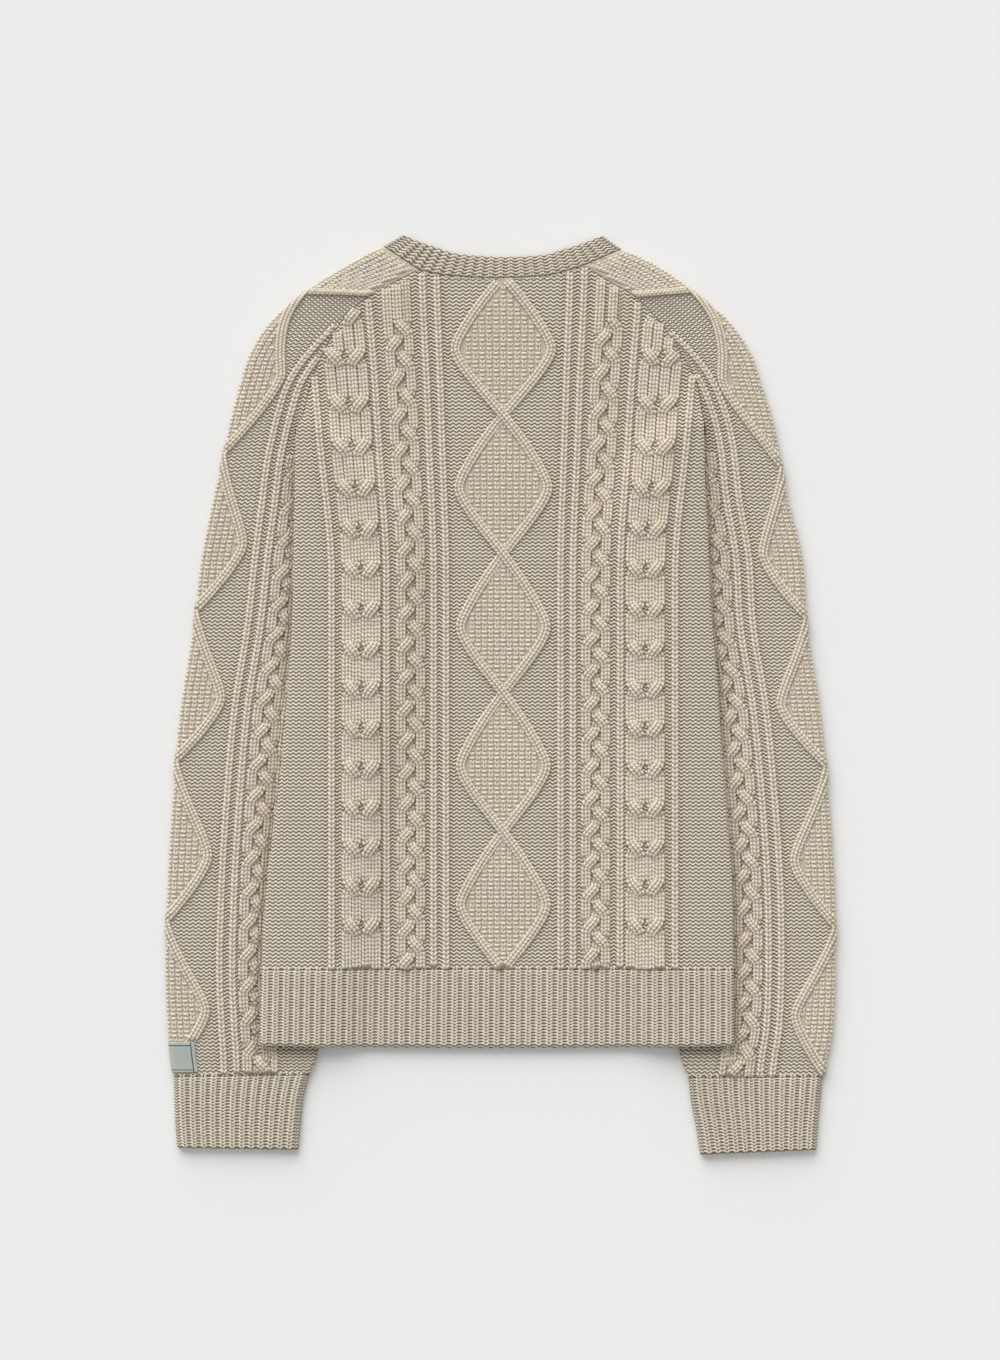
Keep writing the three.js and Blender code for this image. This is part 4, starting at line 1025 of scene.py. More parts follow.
def front_panel(material):
    border_x, border_y = seam_border("front_x", "front_y", FRONT_NECK)
    order = np.argsort(border_x)
    x, y = panel_grid((border_x[order], border_y[order]), 120)
    x, y = x[:, ::2], y[:, ::2]
    outer = points_of(x, y, front_under(x, y))
    inner = points_of(x, y, front_top(x, y))
    return cloth("front_ground", outer, inner, body_stitches(x, y), material, every=4)


def on_back(x, y, height):
    return points_of(x, y, back_top(x, y) + height)


def body_line(away, y):
    return BODY_CENTRE + away * spread(y)


def top_of(side, away):
    """The height at which a column meets the raglan seam or the neck."""
    y = np.linspace(150, 372, 900)
    inside = np.interp(body_line(side * away, y), SEAM_X, SEAM_Y) - 1.5 > y
    return y[inside].max()


def cut_at_seam(path):
    """A strand that starts above the seams loses what lies past them."""
    x, y = path["line"].T
    first = int(np.argmax(y < np.interp(x, SEAM_X, SEAM_Y) - 2))
    for name in ("line", "half", "crown", "level", "round", "painted_shade"):
        path[name] = path[name][first:]
    path["crown"] = path["crown"] * smooth((y[first] - y[first:]) / 4)
    return path


def body_rows(top, course, fade_at=None):
    """Heights along a strand, three to a course from the top down, and how far it stands out there:
    strands sink at the hem seam and at the seams above."""
    y = np.arange(top, HEM_SEAM + 0.5, -course / 3)
    return y, smooth((y - HEM_SEAM) / 2) * smooth(((fade_at or top) - y) / 4)


def body_ribs(wools):
    paths = []
    for side in (-1, 1):
        for away in BODY_RIBS:
            y, ends = body_rows(top_of(side, away), RIB_COURSE)
            x = body_line(side * away, y)
            paths.append(strand(x, y, RIB_HALF_WIDTH, RIB_HEIGHT * ends, -0.3, 2, RIB_COURSE))
    return strands("back_ribs", paths, on_back, *wools)


def diamond_lines(wools):
    paths = []
    y, ends = body_rows(top_of(1, 4), CABLE_COURSE)
    turn = diamond_turn(y)
    for side in (-1, 1):
        x = body_line(side * DIAMOND_HALF_WIDTH * diamond_side(turn), y)
        over = -side * np.cos(turn) ** 7
        level = -0.4 + 0.8 * over
        paths.append(strand(x, y, LINE_HALF_WIDTH, LINE_HEIGHT * ends, level))
    return strands("diamond_lines", paths, on_back, *wools)


def crossings_above(y):
    """The count of horseshoe crossings above a height, in parts of a crossing."""
    crossings = np.array(HORSESHOE_CROSSINGS)
    return np.interp(-y, -crossings, np.arange(len(crossings)) - 1.0)


def body_plait(side, wools):
    y, ends = body_rows(PAST_SEAM, CABLE_COURSE, PAST_SEAM + 25)
    turns = (crossings_above(y) - PLAIT_START[side]) / PLAIT_STEP
    paths = []
    for away, over in plait(turns, side):
        path = plait_strand(body_line(side * PLAIT_CENTRE, y) + away, y, over, ends)
        paths.append(cut_at_seam(path))
    return strands(of_side(side, "plait"), paths, on_back, *wools)


def horseshoe(side, wools):
    """Outer strands that cross over the inner ones toward the middle, again and again."""
    y, ends = body_rows(PAST_SEAM, CABLE_COURSE, PAST_SEAM + 25)
    crossings = np.array(HORSESHOE_CROSSINGS[:-1]) + CROSSING_RISE
    crossed = sum(smooth((at - y) / CROSSING_LENGTH + 0.5) for at in crossings)
    near = sum(swell(y - at, 6.0) for at in crossings)
    beneath = sum(swell(y - at, 3.6) for at in crossings)
    paths = []
    for half in (-1, 1):
        for start in (0, 1):
            place = (crossed + start) % 2
            away = STRAND_STEP / 2 + STRAND_STEP * np.abs(1 - place)
            above = np.where(place < 1, near, 0)
            hidden = np.where(place < 1, 0, beneath)
            x = body_line(side * HORSESHOE_CENTRE, y) + half * away * spread(y)
            crown = (CABLE_HEIGHT - 0.5 + 1.7 * above) * ends
            level = (1.3 * above - 0.1 - 0.3 * hidden) * ends
            # The strands that pass under are darkened with painted shade.
            path = strand(x, y, CABLE_HALF_WIDTH + 0.4 * above - 0.2 * hidden, crown, level,
                          roundness=0.2 + 0.8 * above, painted_shade=0.5 * hidden)
            paths.append(cut_at_seam(path))
    return strands(of_side(side, "horseshoe"), paths, on_back, *wools)


def moss_legs(place, low, high, reach, half):
    """Double moss: blocks of two purl bumps lying across and of two narrow knit stitches."""
    middle, along, size = [], [], []
    columns = int(reach / MOSS_WALE) + 1
    for band in np.arange(math.ceil(low / (2 * MOSS_COURSE)), high / (2 * MOSS_COURSE)):
        for k in range(-columns, columns + 1):
            purl = (band + k) % 2 == 0
            room = MOSS_PURL_ROOM if purl else MOSS_KNIT_ROOM
            for row in (-0.5, 0.5):
                y = (2 * band + row) * MOSS_COURSE
                if abs(k * MOSS_WALE) > half(y) - LINE_HALF_WIDTH - room:
                    continue
                for lean in (0,) if purl else (-1, 1):
                    middle.append((k * MOSS_WALE + lean * MOSS_KNIT_APART, y))
                    along.append((1.0, 0.0) if purl else (MOSS_KNIT_LEAN * lean, 1.0))
                    size.append(MOSS_PURL_SIZE if purl else MOSS_KNIT_SIZE)
    x, y = np.array(middle).T
    dx, dy = np.array(along).T
    spots = place(x, y, MOSS_LEVEL)
    ahead = place(x + 0.5 * dx, y + 0.5 * dy, MOSS_LEVEL)
    above = place(x, y, MOSS_LEVEL + 1)
    return [[spots, ahead - spots, above - spots, np.array(size), np.zeros(len(x))]]


def body_moss(wools):
    """The double moss inside the diamonds of the back."""
    top = top_of(1, 4)

    def place(away, y, height):
        return on_back(body_line(away, y), y, height)

    def half(y):
        return diamond_half(y) if HEM_SEAM + 2 < y < top - 2 else 0.0

    legs = moss_legs(place, HEM_SEAM, top, DIAMOND_HALF_WIDTH, half)
    return with_legs("back_moss", legs, *wools)


def sleeve_width(at):
    return np.hypot(at["fold_x"] - at["back_x"], at["fold_y"] - at["back_y"])


def sleeve_section(side, s):
    """A sleeve's section, a seam's gap short of the raglan seam."""
    at = section(SLEEVES[side], s)
    for name in ("back", "front"):
        dx = at["fold_x"] - at[name + "_x"]
        dy = at["fold_y"] - at[name + "_y"]
        length = np.hypot(dx, dy)
        at[name + "_x"] = at[name + "_x"] + dx / length * SEAM_GAP * 1.25
        at[name + "_y"] = at[name + "_y"] + dy / length * SEAM_GAP * 1.25
    return at


def shown_width(at, s, side):
    """How much of a sleeve's width shows beside the body."""
    width = sleeve_width(at)
    beside = np.abs(at["fold_x"] - side_x(np.maximum(at["fold_y"], HEM_END), side))
    shown = mix(beside, width + 20, smooth((HEM_END - 5 - at["fold_y"]) / 12))
    return np.where(s < UNDERARM_SECTION, width, shown)


def sleeve_hollow(at, s, side, distance):
    """The room between a sleeve's two layers: open along its fold, nearly shut under the body."""
    opened = smooth(s / 2) * (1 - smooth((s - 16.6) / 0.8))
    full = mix(HOLLOW, SLEEVE_HOLLOW, opened)
    least = mix(HOLLOW, TUCKED_HOLLOW, smooth((s - 6.2) / 0.7) * (1 - smooth((s - 16.8) / 0.6)))
    closing = smooth((distance - shown_width(at, s, side) + 28) / 20)
    return mix(full, least, closing)


def sleeve_shade(at, s, side, distance):
    """How much of a raised pattern stands out: less at the seams and where the body begins."""
    width = sleeve_width(at)
    ends = smooth(s / 0.4) * smooth((SLEEVE_END - s) / 0.12)
    beside = smooth((shown_width(at, s, side) - distance - 1) / 5)
    room = np.where(s > UNDERARM_SECTION - 0.3, beside, 1)
    patched = smooth((s - PATCH_ROWS[0] + 0.15) / 0.1) * smooth((PATCH_REACH[0] + 2.5 - distance) / 2)
    return ends * room * smooth((width - distance) / 4) * (1 - (side < 0) * patched)


def folded(at, hollow, q, height, outer=True):
    """A point of a sleeve: q is the distance from its outer fold on the back, then goes on round
    the fold and back along the underside."""
    width = sleeve_width(at)
    dir_x = (at["fold_x"] - at["back_x"]) / width
    dir_y = (at["fold_y"] - at["back_y"]) / width
    radius = hollow / 2 + WALL
    reach = radius + height if outer else hollow / 2
    turn = np.clip((q - radius) / radius, -math.pi, 0)
    inward = np.where(q > radius, q, radius)
    share = np.clip((radius * (1 - math.pi) - q) / (width - radius), 0, 1)
    sideways = np.where(q > radius, -inward, reach * np.sin(-turn) - radius)
    up = np.maximum(reach * np.cos(turn), -radius if outer else -hollow / 2)
    x = at["fold_x"] + dir_x * sideways
    y = at["fold_y"] + dir_y * sideways
    x = mix(x, at["front_x"], share)
    y = mix(y, at["front_y"], share)
    return points_of(x, y, WALL + hollow / 2 + up)


def sleeve_rows(side):
    """The length of a sleeve's outer fold, at its sections."""
    s = np.linspace(0, SLEEVE_END, 2000)
    at = section(SLEEVES[side], s)
    step = np.hypot(np.diff(at["fold_x"]), np.diff(at["fold_y"]))
    return s, np.concatenate([[0], np.cumsum(step)]), at


def sleeve_places():
    """Places across a sleeve, from the seam to the fold, round it and back underneath."""
    top = 1 - np.linspace(0, 1, 44)
    turns = np.linspace(0, -math.pi, 11)[1:]
    under = np.linspace(0, 1, 12)[1:]
    return top, turns, under


def sleeve_grid(side, s):
    """Distances from the fold for each section, as the function folded takes them."""
    at = sleeve_section(side, s)
    width = sleeve_width(at)[:, None]
    top, turns, under = sleeve_places()
    rough = sleeve_hollow(at, s, side, 0 * s)[:, None]
    radius = rough / 2 + WALL
    on_top = radius + (width - radius) * top[None, :]
    round_fold = radius + radius * turns[None, :]
    below = radius * (1 - math.pi) - (width - radius) * under[None, :]
    return np.concatenate([on_top, round_fold, below], axis=1)


def sleeve_closings(side):
    """Where the sleeve's diamonds close, by length along the fold, with one past the cuff."""
    _, length, at_fine = sleeve_rows(side)
    found = np.interp(-np.array(CLOSINGS[side]), -at_fine["fold_y"], length)
    return np.append(found, 2 * found[-1] - found[-2])


def sleeve_diamond_half(side, m):
    """Half the width of the sleeve's diamonds, at lengths along the fold. The one at the shoulder
    goes on to the raglan seam."""
    closings = sleeve_closings(side)
    k = np.clip(np.searchsorted(closings, m) - 1, 0, len(closings) - 2)
    t = np.clip((m - closings[k]) / (closings[k + 1] - closings[k]), 0, 1)
    half = SLEEVE_DIAMOND_HALF_WIDTH * np.abs(diamond_side(math.pi * t**SLEEVE_DIAMOND_SKEW))
    return np.where(m < closings[0], WHOLE_WIDTH, half)


def tucked_shade(at, s, side, q):
    """How much painted shade darkens a sleeve beside the body's edge, where it runs under the body."""
    tucked = smooth((s - UNDERARM_SECTION + 1.2) / 1.5) * smooth((17.3 - s) / 0.6)
    return tucked * smooth(1 - (shown_width(at, s, side) - q) / 18)


def sleeve_ground(side, material):
    """A sleeve's cloth, all round, with its stitches."""
    s_fine, length, _ = sleeve_rows(side)
    m = np.linspace(0, length[-1], 260)
    s = np.interp(m, length, s_fine)
    q = sleeve_grid(side, s)
    at = {name: column[:, None] for name, column in sleeve_section(side, s).items()}
    s = s[:, None]
    hollow = sleeve_hollow(at, s, side, np.maximum(q, 0))
    at_fold = sleeve_hollow(at, s, side, 0 * s)
    hollow = np.where(q < at_fold / 2 + WALL, at_fold, hollow)
    outer = folded(at, hollow, q, 0.0)
    inner = folded(at, hollow, q, 0.0, outer=False)
    half = sleeve_diamond_half(side, m)[:, None]
    moss = (np.abs(q - 1.0) < half) * 1.0
    # Painted shade in the valleys beside the ribs and beside the body's edge.
    painted_shade = sum(0.7 * swell(q - at["rib"] - away, 2.0) for away in SLEEVE_VALLEYS)
    painted_shade = painted_shade + 1.2 * tucked_shade(at, s, side, q)
    stitches = stitch_places(q / PURL_WALE, -m[:, None] / PURL_COURSE, moss, painted_shade)
    return cloth(of_side(side, "sleeve_ground"), outer, inner, stitches, material)


def on_sleeve(side):
    """A function that places points on a sleeve, by distance from its fold and along it."""
    s_fine, length, _ = sleeve_rows(side)

    def place(q, m, height):
        s = np.interp(-m, length, s_fine)
        at = sleeve_section(side, s)
        hollow = sleeve_hollow(at, s, side, np.maximum(q, 0))
        shade = sleeve_shade(at, s, side, q)
        return folded(at, hollow, q, height * shade - 0.5 * (1 - shade))

    return place


def sleeve_cables(side, wools):
    """The ribs, the plait and the diamonds' lines of one sleeve."""
    s_fine, length, at_fine = sleeve_rows(side)
    width = sleeve_width(at_fine)
    paths = []

    def start_of(away):
        clear = at_fine["rib"] + away < width - 2.5
        return length[len(clear) - np.argmin(clear[::-1])] if not clear.all() else 0.0

    def rib_at(m):
        return np.interp(m, length, at_fine["rib"])

    for away in SLEEVE_RIBS:
        m = np.arange(start_of(away), length[-1] - 0.5, RIB_COURSE / 3)
        paths.append(strand(rib_at(m) + away, -m, RIB_HALF_WIDTH, RIB_HEIGHT, -0.3, 2, RIB_COURSE))
    m = np.arange(start_of(SLEEVE_PLAIT + 8), length[-1] - 0.5, CABLE_COURSE / 3)
    y = np.interp(m, length, at_fine["fold_y"])
    s_plait = np.interp(m, length, s_fine)
    at_plait = sleeve_section(side, s_plait)
    for away, over in plait((SLEEVE_PLAIT_PHASE[side] - y) / (SLEEVE_PLAIT_CYCLE / 6), -1):
        q = rib_at(m) + SLEEVE_PLAIT + away
        path = plait_strand(q, -m, over)
        # Painted shade darkens the plait beside the body's edge.
        path["painted_shade"] = path["painted_shade"] + 0.9 * tucked_shade(at_plait, s_plait, side, q)
        paths.append(path)
    closings = sleeve_closings(side)
    for first, last in zip(closings, closings[1:]):
        m = np.arange(max(first, 1.0), min(last, length[-1] - 0.5), CABLE_COURSE / 3)
        if len(m) < SHORTEST_LINE:
            continue
        t = (m - first) / (last - first)
        q = -1.5 + (SLEEVE_DIAMOND_HALF_WIDTH + 1.5) * diamond_side(math.pi * t**SLEEVE_DIAMOND_SKEW)
        paths.append(strand(q, -m, LINE_HALF_WIDTH, LINE_HEIGHT, -0.3))
    across = np.arange(0, np.interp(closings[0], length, width) - 1, CABLE_COURSE / 3)
    paths.append(strand(across, -closings[0] + 0.04 * across, LINE_HALF_WIDTH, LINE_HEIGHT, -0.3))
    return strands(of_side(side, "sleeve_cables"), paths, on_sleeve(side), *wools)


def sleeve_moss(side, wools):
    """The double moss between a sleeve's diamond lines and its outer fold."""
    _, length, at_fine = sleeve_rows(side)
    on_cloth = on_sleeve(side)
    m_fine = np.linspace(0, length[-1], 1200)
    room = np.interp(m_fine, length, sleeve_width(at_fine)) - 3 + LINE_HALF_WIDTH
    half_fine = np.minimum(sleeve_diamond_half(side, m_fine), room)

    def half(m):
        return np.interp(-m, m_fine, half_fine) if 3 < -m < length[-1] - 4 else 0.0

    def place(away, m, height):
        return on_cloth(away + 0 * m, m, height)

    legs = moss_legs(place, 4 - length[-1], 0, WHOLE_WIDTH, half)
    return with_legs(of_side(side, "sleeve_moss"), legs, *wools)


def rib_profile(place):
    """The height of a band's ribs, from 0 to 1, at places counted in ribs: each has a round V column
    and a valley."""
    return np.clip(1 - np.abs((place % 1 - RIB_MIDDLE) / RIB_REACH) ** 2.6, 0, 1) ** 0.5


def band_stitches(name, ribs, on_band, length, half, wools, reach=V_REACH, first=BAND_START):
    """The knit legs on a band's ribs. The function on_band takes places counted in ribs, lengths
    along them and an extra height."""
    legs = []
    for rib in ribs:
        def top(across, along, extra=0.0, rib=rib):
            return on_band(rib + RIB_MIDDLE + reach * across, along, extra)

        legs.append(legs_on(top, length, half, 2, BAND_COURSE, first=first))
    return with_legs(name, legs, *wools)


def hem(name, material, ribbed, top, under):
    """A hem rib from its seam to its lower edge, with raised ribs on the back only."""
    columns = HEM_RIBS * COLUMNS_IN_RIB if ribbed else 60
    across = np.linspace(0, 1, columns + 1)[None, :]
    rows = np.linspace(0, 1, 26 if ribbed else 12)[:, None]
    outer = hem_points(across, rows, top, ribbed)
    inner = hem_points(across, rows, under, False)
    # Painted shade in the valleys between the ribs.
    painted_shade = 0.5 * (1 - rib_profile(across * HEM_RIBS)) if ribbed else 0.0
    stitches = stitch_places(across * HEM_RIBS - RIB_MIDDLE, -rows * HEM_DEPTH / BAND_COURSE, 0, painted_shade)
    return cloth(name, outer, inner, stitches, material, every=4)


def hem_points(across, rows, side, ribbed, extra=0.0):
    """Points of the hem, at shares of its width and of its depth."""
    end_x = mix(side_x(HEM_END, -1), side_x(HEM_END, 1), across)
    bottom = HEM_END + 2 * ((end_x - BODY_CENTRE) / 200) ** 2
    y = mix(HEM_SEAM, bottom, rows)
    x = mix(side_x(y, -1), side_x(y, 1), across)
    inward = smooth((from_side(x, y) - 1) / 5)
    ends = smooth(rows / 0.04) * smooth((1 - rows) / 0.02)
    raised = BAND_RIB_HEIGHT * rib_profile(across * HEM_RIBS) * ends * inward
    return points_of(x, y, side(x, y) + (raised if ribbed else 0) + extra)


def hem_stitches(wools):
    def on_hem(place, along, extra):
        return hem_points(place / HEM_RIBS, along / HEM_DEPTH, back_top, True, extra)

    return band_stitches("hem_stitches", range(HEM_RIBS), on_hem, HEM_DEPTH - 0.5, HEM_V_HALF_WIDTH,
                         wools)


def cuff_points(side, rows, share, reach, turn=0.0, under=False):
    """Points of a cuff's tube: on its flat sides by share of its width, or round one of its folds."""
    at = section(CUFFS[side], rows)
    width = sleeve_width(at)
    radius = WALL + CUFF_HOLLOW / 2
    sideways = -(radius + (width - 2 * radius) * share) + reach * np.sin(turn)
    up = reach * np.cos(turn)
    x = at["fold_x"] + (at["fold_x"] - at["back_x"]) / width * sideways
    y = at["fold_y"] + (at["fold_y"] - at["back_y"]) / width * sideways
    return points_of(x, y, radius + (-up if under else up))


def cuff_rise(rows, share):
    """How high a cuff's ribs stand, at rows of its table and shares of its width."""
    fade = smooth(rows / 0.12) * smooth((CUFF_ROWS - rows) / 0.06)
    return BAND_RIB_HEIGHT * rib_profile(share * CUFF_RIBS) * fade


def cuff(side, material):
    """A ribbed tube that lies flat."""
    rows = np.linspace(0, CUFF_ROWS, 26)[:, None]
    top = np.linspace(1, 0, CUFF_RIBS * COLUMNS_IN_RIB + 1)[None, :]
    turns = np.linspace(0, math.pi, 11)[None, 1:-1]
    under = np.linspace(0, 1, 25)[None, :]

    def ring(reach, rise):
        return np.concatenate([
            cuff_points(side, rows, top, reach + rise),
            cuff_points(side, rows, 0 * turns, reach, turns),
            cuff_points(side, rows, under, reach, under=True),
            cuff_points(side, rows, 1 + 0 * turns, reach, math.pi + turns),
        ], axis=1)

    outer = ring(WALL + CUFF_HOLLOW / 2, cuff_rise(rows, top))
    inner = ring(CUFF_HOLLOW / 2, 0.0)
    plain = outer.shape[1] - top.shape[1]
    wale = np.concatenate([top[0] * CUFF_RIBS - RIB_MIDDLE, np.linspace(0, plain * 0.25, plain)])
    # Painted shade in the valleys between the ribs.
    painted_shade = np.concatenate([0.5 - 0.5 * rib_profile(top[0] * CUFF_RIBS), np.zeros(plain)])
    course = -rows * CUFF_DEPTH / CUFF_ROWS / BAND_COURSE
    stitches = stitch_places(wale[None, :], course, 0, painted_shade[None, :])
    return cloth(of_side(side, "cuff_rib"), outer, inner, stitches, material, every=4, closed=True)


def cuff_stitches(side, wools):
    def on_cuff(place, along, extra):
        share = place / CUFF_RIBS
        rows = along / CUFF_DEPTH * CUFF_ROWS
        reach = WALL + CUFF_HOLLOW / 2 + cuff_rise(rows, share) + extra
        return cuff_points(side, rows, share, reach)

    name = of_side(side, "cuff_stitches")
    return band_stitches(name, range(CUFF_RIBS), on_cuff, CUFF_DEPTH - 1, CUFF_V_HALF_WIDTH, wools)


def collar_seam(at, neck, names):
    """The collar's seam: on the sleeves' ends for two rows at each end, on the neck between."""
    last = len(neck["x"]) + 3
    on = section(neck, np.clip(at - 2, 0, last - 4))
    x, y = on["x"], on["y"]
    turn = COLLAR_TURN / 2
    ends = ((LEFT_SLEEVE, at / 2, at < 2), (RIGHT_SLEEVE, (last - at) / 2, at > last - 2))
    for sleeve, t, here in ends:
        row = {name: column[0] for name, column in sleeve.items()}
        core_x = mix(row["fold_x"], row["back_x"], turn)
        core_y = mix(row["fold_y"], row["back_y"], turn)
        along = (t - turn) / (1 - turn)
        x = np.where(here, mix(core_x, row[names[0]], along), x)
        y = np.where(here, mix(core_y, row[names[1]], along), y)
    return x, y


def even_steps(count):
    """Places along the collar's back, at even lengths of its seam."""
    fine = np.linspace(COLLAR_TURN, len(BACK_NECK["x"]) + 3 - COLLAR_TURN, 600)
    x, y = collar_seam(fine, BACK_NECK, ("back_x", "back_y"))
    length = np.concatenate([[0], np.cumsum(np.hypot(np.diff(x), np.diff(y)))])
    return np.interp(np.linspace(0, length[-1], count + 1), length, fine)


def collar_column(at, neck, free, names, angle, reach, rows):
    """Points of the collar from its seam to its free edge, turned round its end by an angle."""
    x0, y0 = collar_seam(at, neck, names)
    edge = section(free, at)
    dx, dy = edge["x"] - x0, edge["y"] - y0
    length = np.hypot(dx, dy)
    x0, y0 = x0 + dx / length * SEAM_GAP * 1.3, y0 + dy / length * SEAM_GAP * 1.3
    row = {name: np.where(at < 2, LEFT_SLEEVE[name][0], RIGHT_SLEEVE[name][0]) for name in LEFT_SLEEVE}
    width = sleeve_width(row)
    side = np.cos(angle) * reach
    x = mix(x0, edge["x"], rows) + (row["fold_x"] - row["back_x"]) / width * side
    y = mix(y0, edge["y"], rows) + (row["fold_y"] - row["back_y"]) / width * side
    return points_of(x, y, WALL + HOLLOW / 2 + np.sin(angle) * reach)


COLLAR_BACK_SIDE = (BACK_NECK, COLLAR_BACK, ("back_x", "back_y"))
COLLAR_FRONT_SIDE = (FRONT_NECK, COLLAR_FRONT, ("front_x", "front_y"))


def collar_rise(share, rows):
    """How high the collar's ribs stand, at shares of its length and depth."""
    inside = smooth((share - 0.016) / 0.033) * smooth((0.984 - share) / 0.033)
    fade = smooth(rows / 0.1) * smooth((1 - rows) / 0.06)
    return BAND_RIB_HEIGHT * rib_profile(share * COLLAR_RIBS) * inside * fade


def collar(material):
    """A ribbed ring that lies flat, its back half on its front half."""
    rows = np.linspace(0, 1, 10)[:, None]
    back_end = len(BACK_NECK["x"]) + 3
    front_end = len(FRONT_NECK["x"]) + 3
    back_at = even_steps(COLLAR_RIBS * COLUMNS_IN_RIB)
    front_at = np.linspace(front_end - COLLAR_TURN, COLLAR_TURN, 60)
    share = np.linspace(0, 1, len(back_at))
    turn = np.radians(np.linspace(90, -90, 11)[1:-1])

    def ring(reach, rise):
        right = np.full(len(turn), back_end - COLLAR_TURN)
        left = np.full(len(turn), COLLAR_TURN)
        return np.concatenate([
            collar_column(back_at, *COLLAR_BACK_SIDE, math.pi / 2, reach + rise, rows),
            collar_column(right, *COLLAR_BACK_SIDE, turn, reach, rows),
            collar_column(front_at, *COLLAR_FRONT_SIDE, -math.pi / 2, reach, rows),
            collar_column(left, *COLLAR_BACK_SIDE, turn[::-1], reach, rows),
        ], axis=1)

    outer = ring(WALL + HOLLOW / 2, collar_rise(share, rows))
    inner = ring(HOLLOW / 2, 0.0)
    plain = outer.shape[1] - len(back_at)
    wale = np.concatenate([share * COLLAR_RIBS - RIB_MIDDLE, np.linspace(0, plain * 0.4, plain)])
    # Painted shade in the valleys between the ribs.
    painted_shade = np.concatenate([0.2 - 0.2 * rib_profile(share * COLLAR_RIBS), np.zeros(plain)])
    stitches = stitch_places(wale[None, :], -rows * COLLAR_DEPTH / BAND_COURSE, 0, painted_shade[None, :])
    return cloth("collar_rib", outer, inner, stitches, material, every=2, closed=True)


def collar_stitches(wools):
    """The knit legs on the collar's ribs, apart from the first and the last rib."""
    places = even_steps(COLLAR_RIBS * COLUMNS_IN_RIB)
    shares = np.linspace(0, 1, len(places))

    def on_collar(place, along, extra):
        share = place / COLLAR_RIBS
        rows = along / COLLAR_DEPTH
        reach = WALL + HOLLOW / 2 + collar_rise(share, rows) + extra
        at = np.interp(share, shares, places)
        return collar_column(at, *COLLAR_BACK_SIDE, math.pi / 2, reach, rows)

    return band_stitches("collar_stitches", range(1, COLLAR_RIBS - 1), on_collar, COLLAR_DEPTH - 0.5,
                         COLLAR_V_HALF_WIDTH, wools, COLLAR_V_REACH, COLLAR_START)


def patch(material):
    """A small woven patch round the left sleeve's fold."""
    first, last = PATCH_ROWS
    start, end = PATCH_REACH
    s = np.linspace(first, last, 28)
    at = {name: column[:, None] for name, column in sleeve_section(-1, s).items()}
    q = np.linspace(start, end, 40)[None, :]
    s = s[:, None]
    hollow = sleeve_hollow(at, s, -1, np.maximum(q, 0))
    outer = folded(at, hollow, q, 1.2)
    inner = folded(at, hollow, q, 0.3)
    stitches = stitch_places((q - end) / (start - end), (s - first) / (last - first))
    return cloth("woven_patch", outer, inner, stitches, material, every=2)


def patch_material():
    """Fine woven cloth with a thin dark frame line near its edge."""
    material, tree, shader = new_material("woven patch")
    maths = partial(calculate, tree)
    across, along, _ = three_parts(tree, "stitch")
    lines = maths("LESS_THAN", maths("ABSOLUTE", maths("SUBTRACT", across, 0.88)), 0.018)
    framed = maths("LESS_THAN", across, 0.89)
    for at in (0.1, 0.9):
        near = maths("LESS_THAN", maths("ABSOLUTE", maths("SUBTRACT", along, at)), 0.016)
        lines = maths("MAXIMUM", lines, maths("MULTIPLY", framed, near))
    warp = bump_row(maths, maths("MULTIPLY", across, 60.0), 0.7)
    weft = bump_row(maths, maths("MULTIPLY", along, 60.0), 0.7)
    colour = mixed_colour(tree, lines, PATCH_LIGHT, PATCH_LINE)
    finish(tree, shader, colour, maths("MULTIPLY", warp, weft), PATCH_RELIEF, Roughness=0.8)
    return material


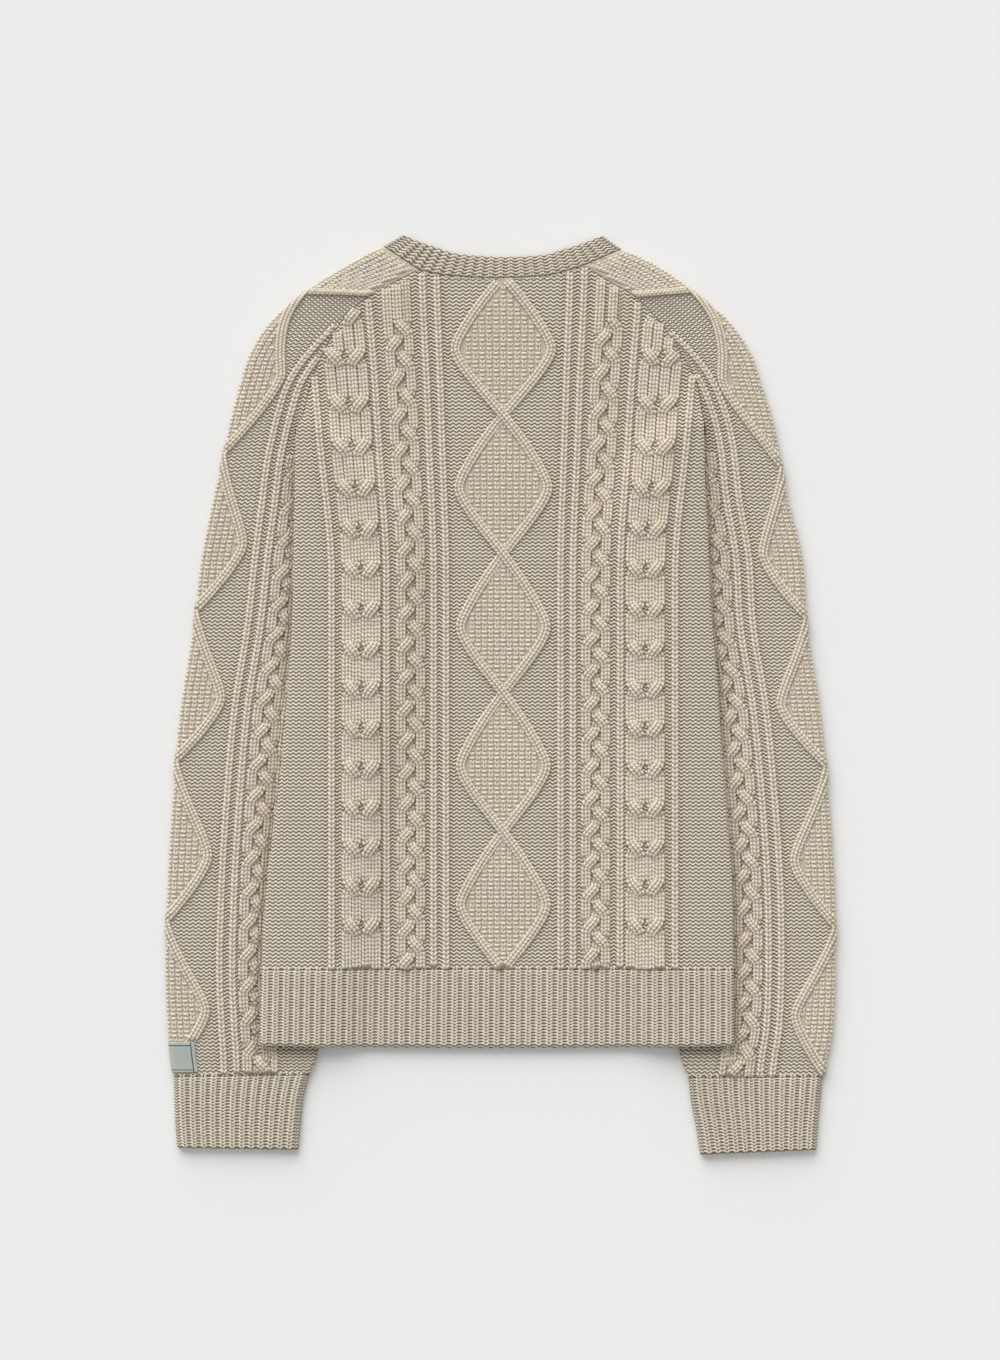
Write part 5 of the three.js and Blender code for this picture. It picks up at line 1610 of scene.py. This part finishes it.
def floor():
    material, _, shader = new_material("pale floor")
    shader.inputs["Base Color"].default_value = FLOOR_COLOUR
    shader.inputs["Roughness"].default_value = 0.9
    mesh = bpy.data.meshes.new("floor")
    mesh.from_pydata([(-6, -6, 0), (6, -6, 0), (6, 6, 0), (-6, 6, 0)], [], [(0, 1, 2, 3)])
    mesh.materials.append(material)
    plane = new_object("floor", mesh)


def lights():
    """Broad daylight from the upper left, and a bright room all round."""
    sun = bpy.data.lights.new("window light", "SUN")
    sun.energy = SUN_STRENGTH
    sun.angle = SUN_WIDTH
    lamp = new_object("window light", sun)
    lamp.rotation_euler = Vector(SUN_DIRECTION).to_track_quat("-Z", "Y").to_euler()
    world = bpy.data.worlds.new("bright room")
    world.use_nodes = True
    background = world.node_tree.nodes["Background"]
    background.inputs["Color"].default_value = (1, 1, 1, 1)
    background.inputs["Strength"].default_value = ROOM_STRENGTH
    bpy.context.scene.world = world
    bpy.context.scene.view_settings.view_transform = "Standard"


def camera():
    """Straight down, on the middle of the photograph's frame."""
    data = bpy.data.cameras.new("overhead")
    data.sensor_fit = "VERTICAL"
    data.angle = 2 * math.atan(HALF_FRAME / CAMERA_HEIGHT)
    data.clip_end = 50
    view = new_object("overhead", data)
    view.location = (*CAMERA_PLACE, CAMERA_HEIGHT + 0.008)
    bpy.context.scene.camera = view


def build():
    fibres = wool_group()
    leg_tree()
    ground = ground_wool(fibres)
    wools = (hollow_wool(fibres), leg_wool(fibres))
    back = back_panel(ground)
    back_raised = [body_ribs(wools), diamond_lines(wools), body_moss(wools)]
    for side in (-1, 1):
        back_raised += [body_plait(side, wools), horseshoe(side, wools)]
    front = front_panel(ground)
    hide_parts("back_panel")
    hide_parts("front_panel")
    for side, name in ((-1, "left"), (1, "right")):
        sleeve = sleeve_ground(side, ground)
        raised = [sleeve_cables(side, wools), sleeve_moss(side, wools)]
        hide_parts(name + "_sleeve")
        band = cuff(side, ground)
        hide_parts(name + "_cuff")
        cuff_stitches(side, wools)
    hem_back = hem("hem_back", ground, True, back_top, back_under)
    hem_front = hem("hem_front", ground, False, front_under, front_top)
    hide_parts("hem_rib_back")
    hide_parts("hem_rib_front")
    hem_stitches(wools)
    neck = collar(ground)
    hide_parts("neck_rib")
    collar_stitches(wools)
    label = patch(patch_material())
    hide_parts("sleeve_patch")


build()
floor()
lights()
camera()
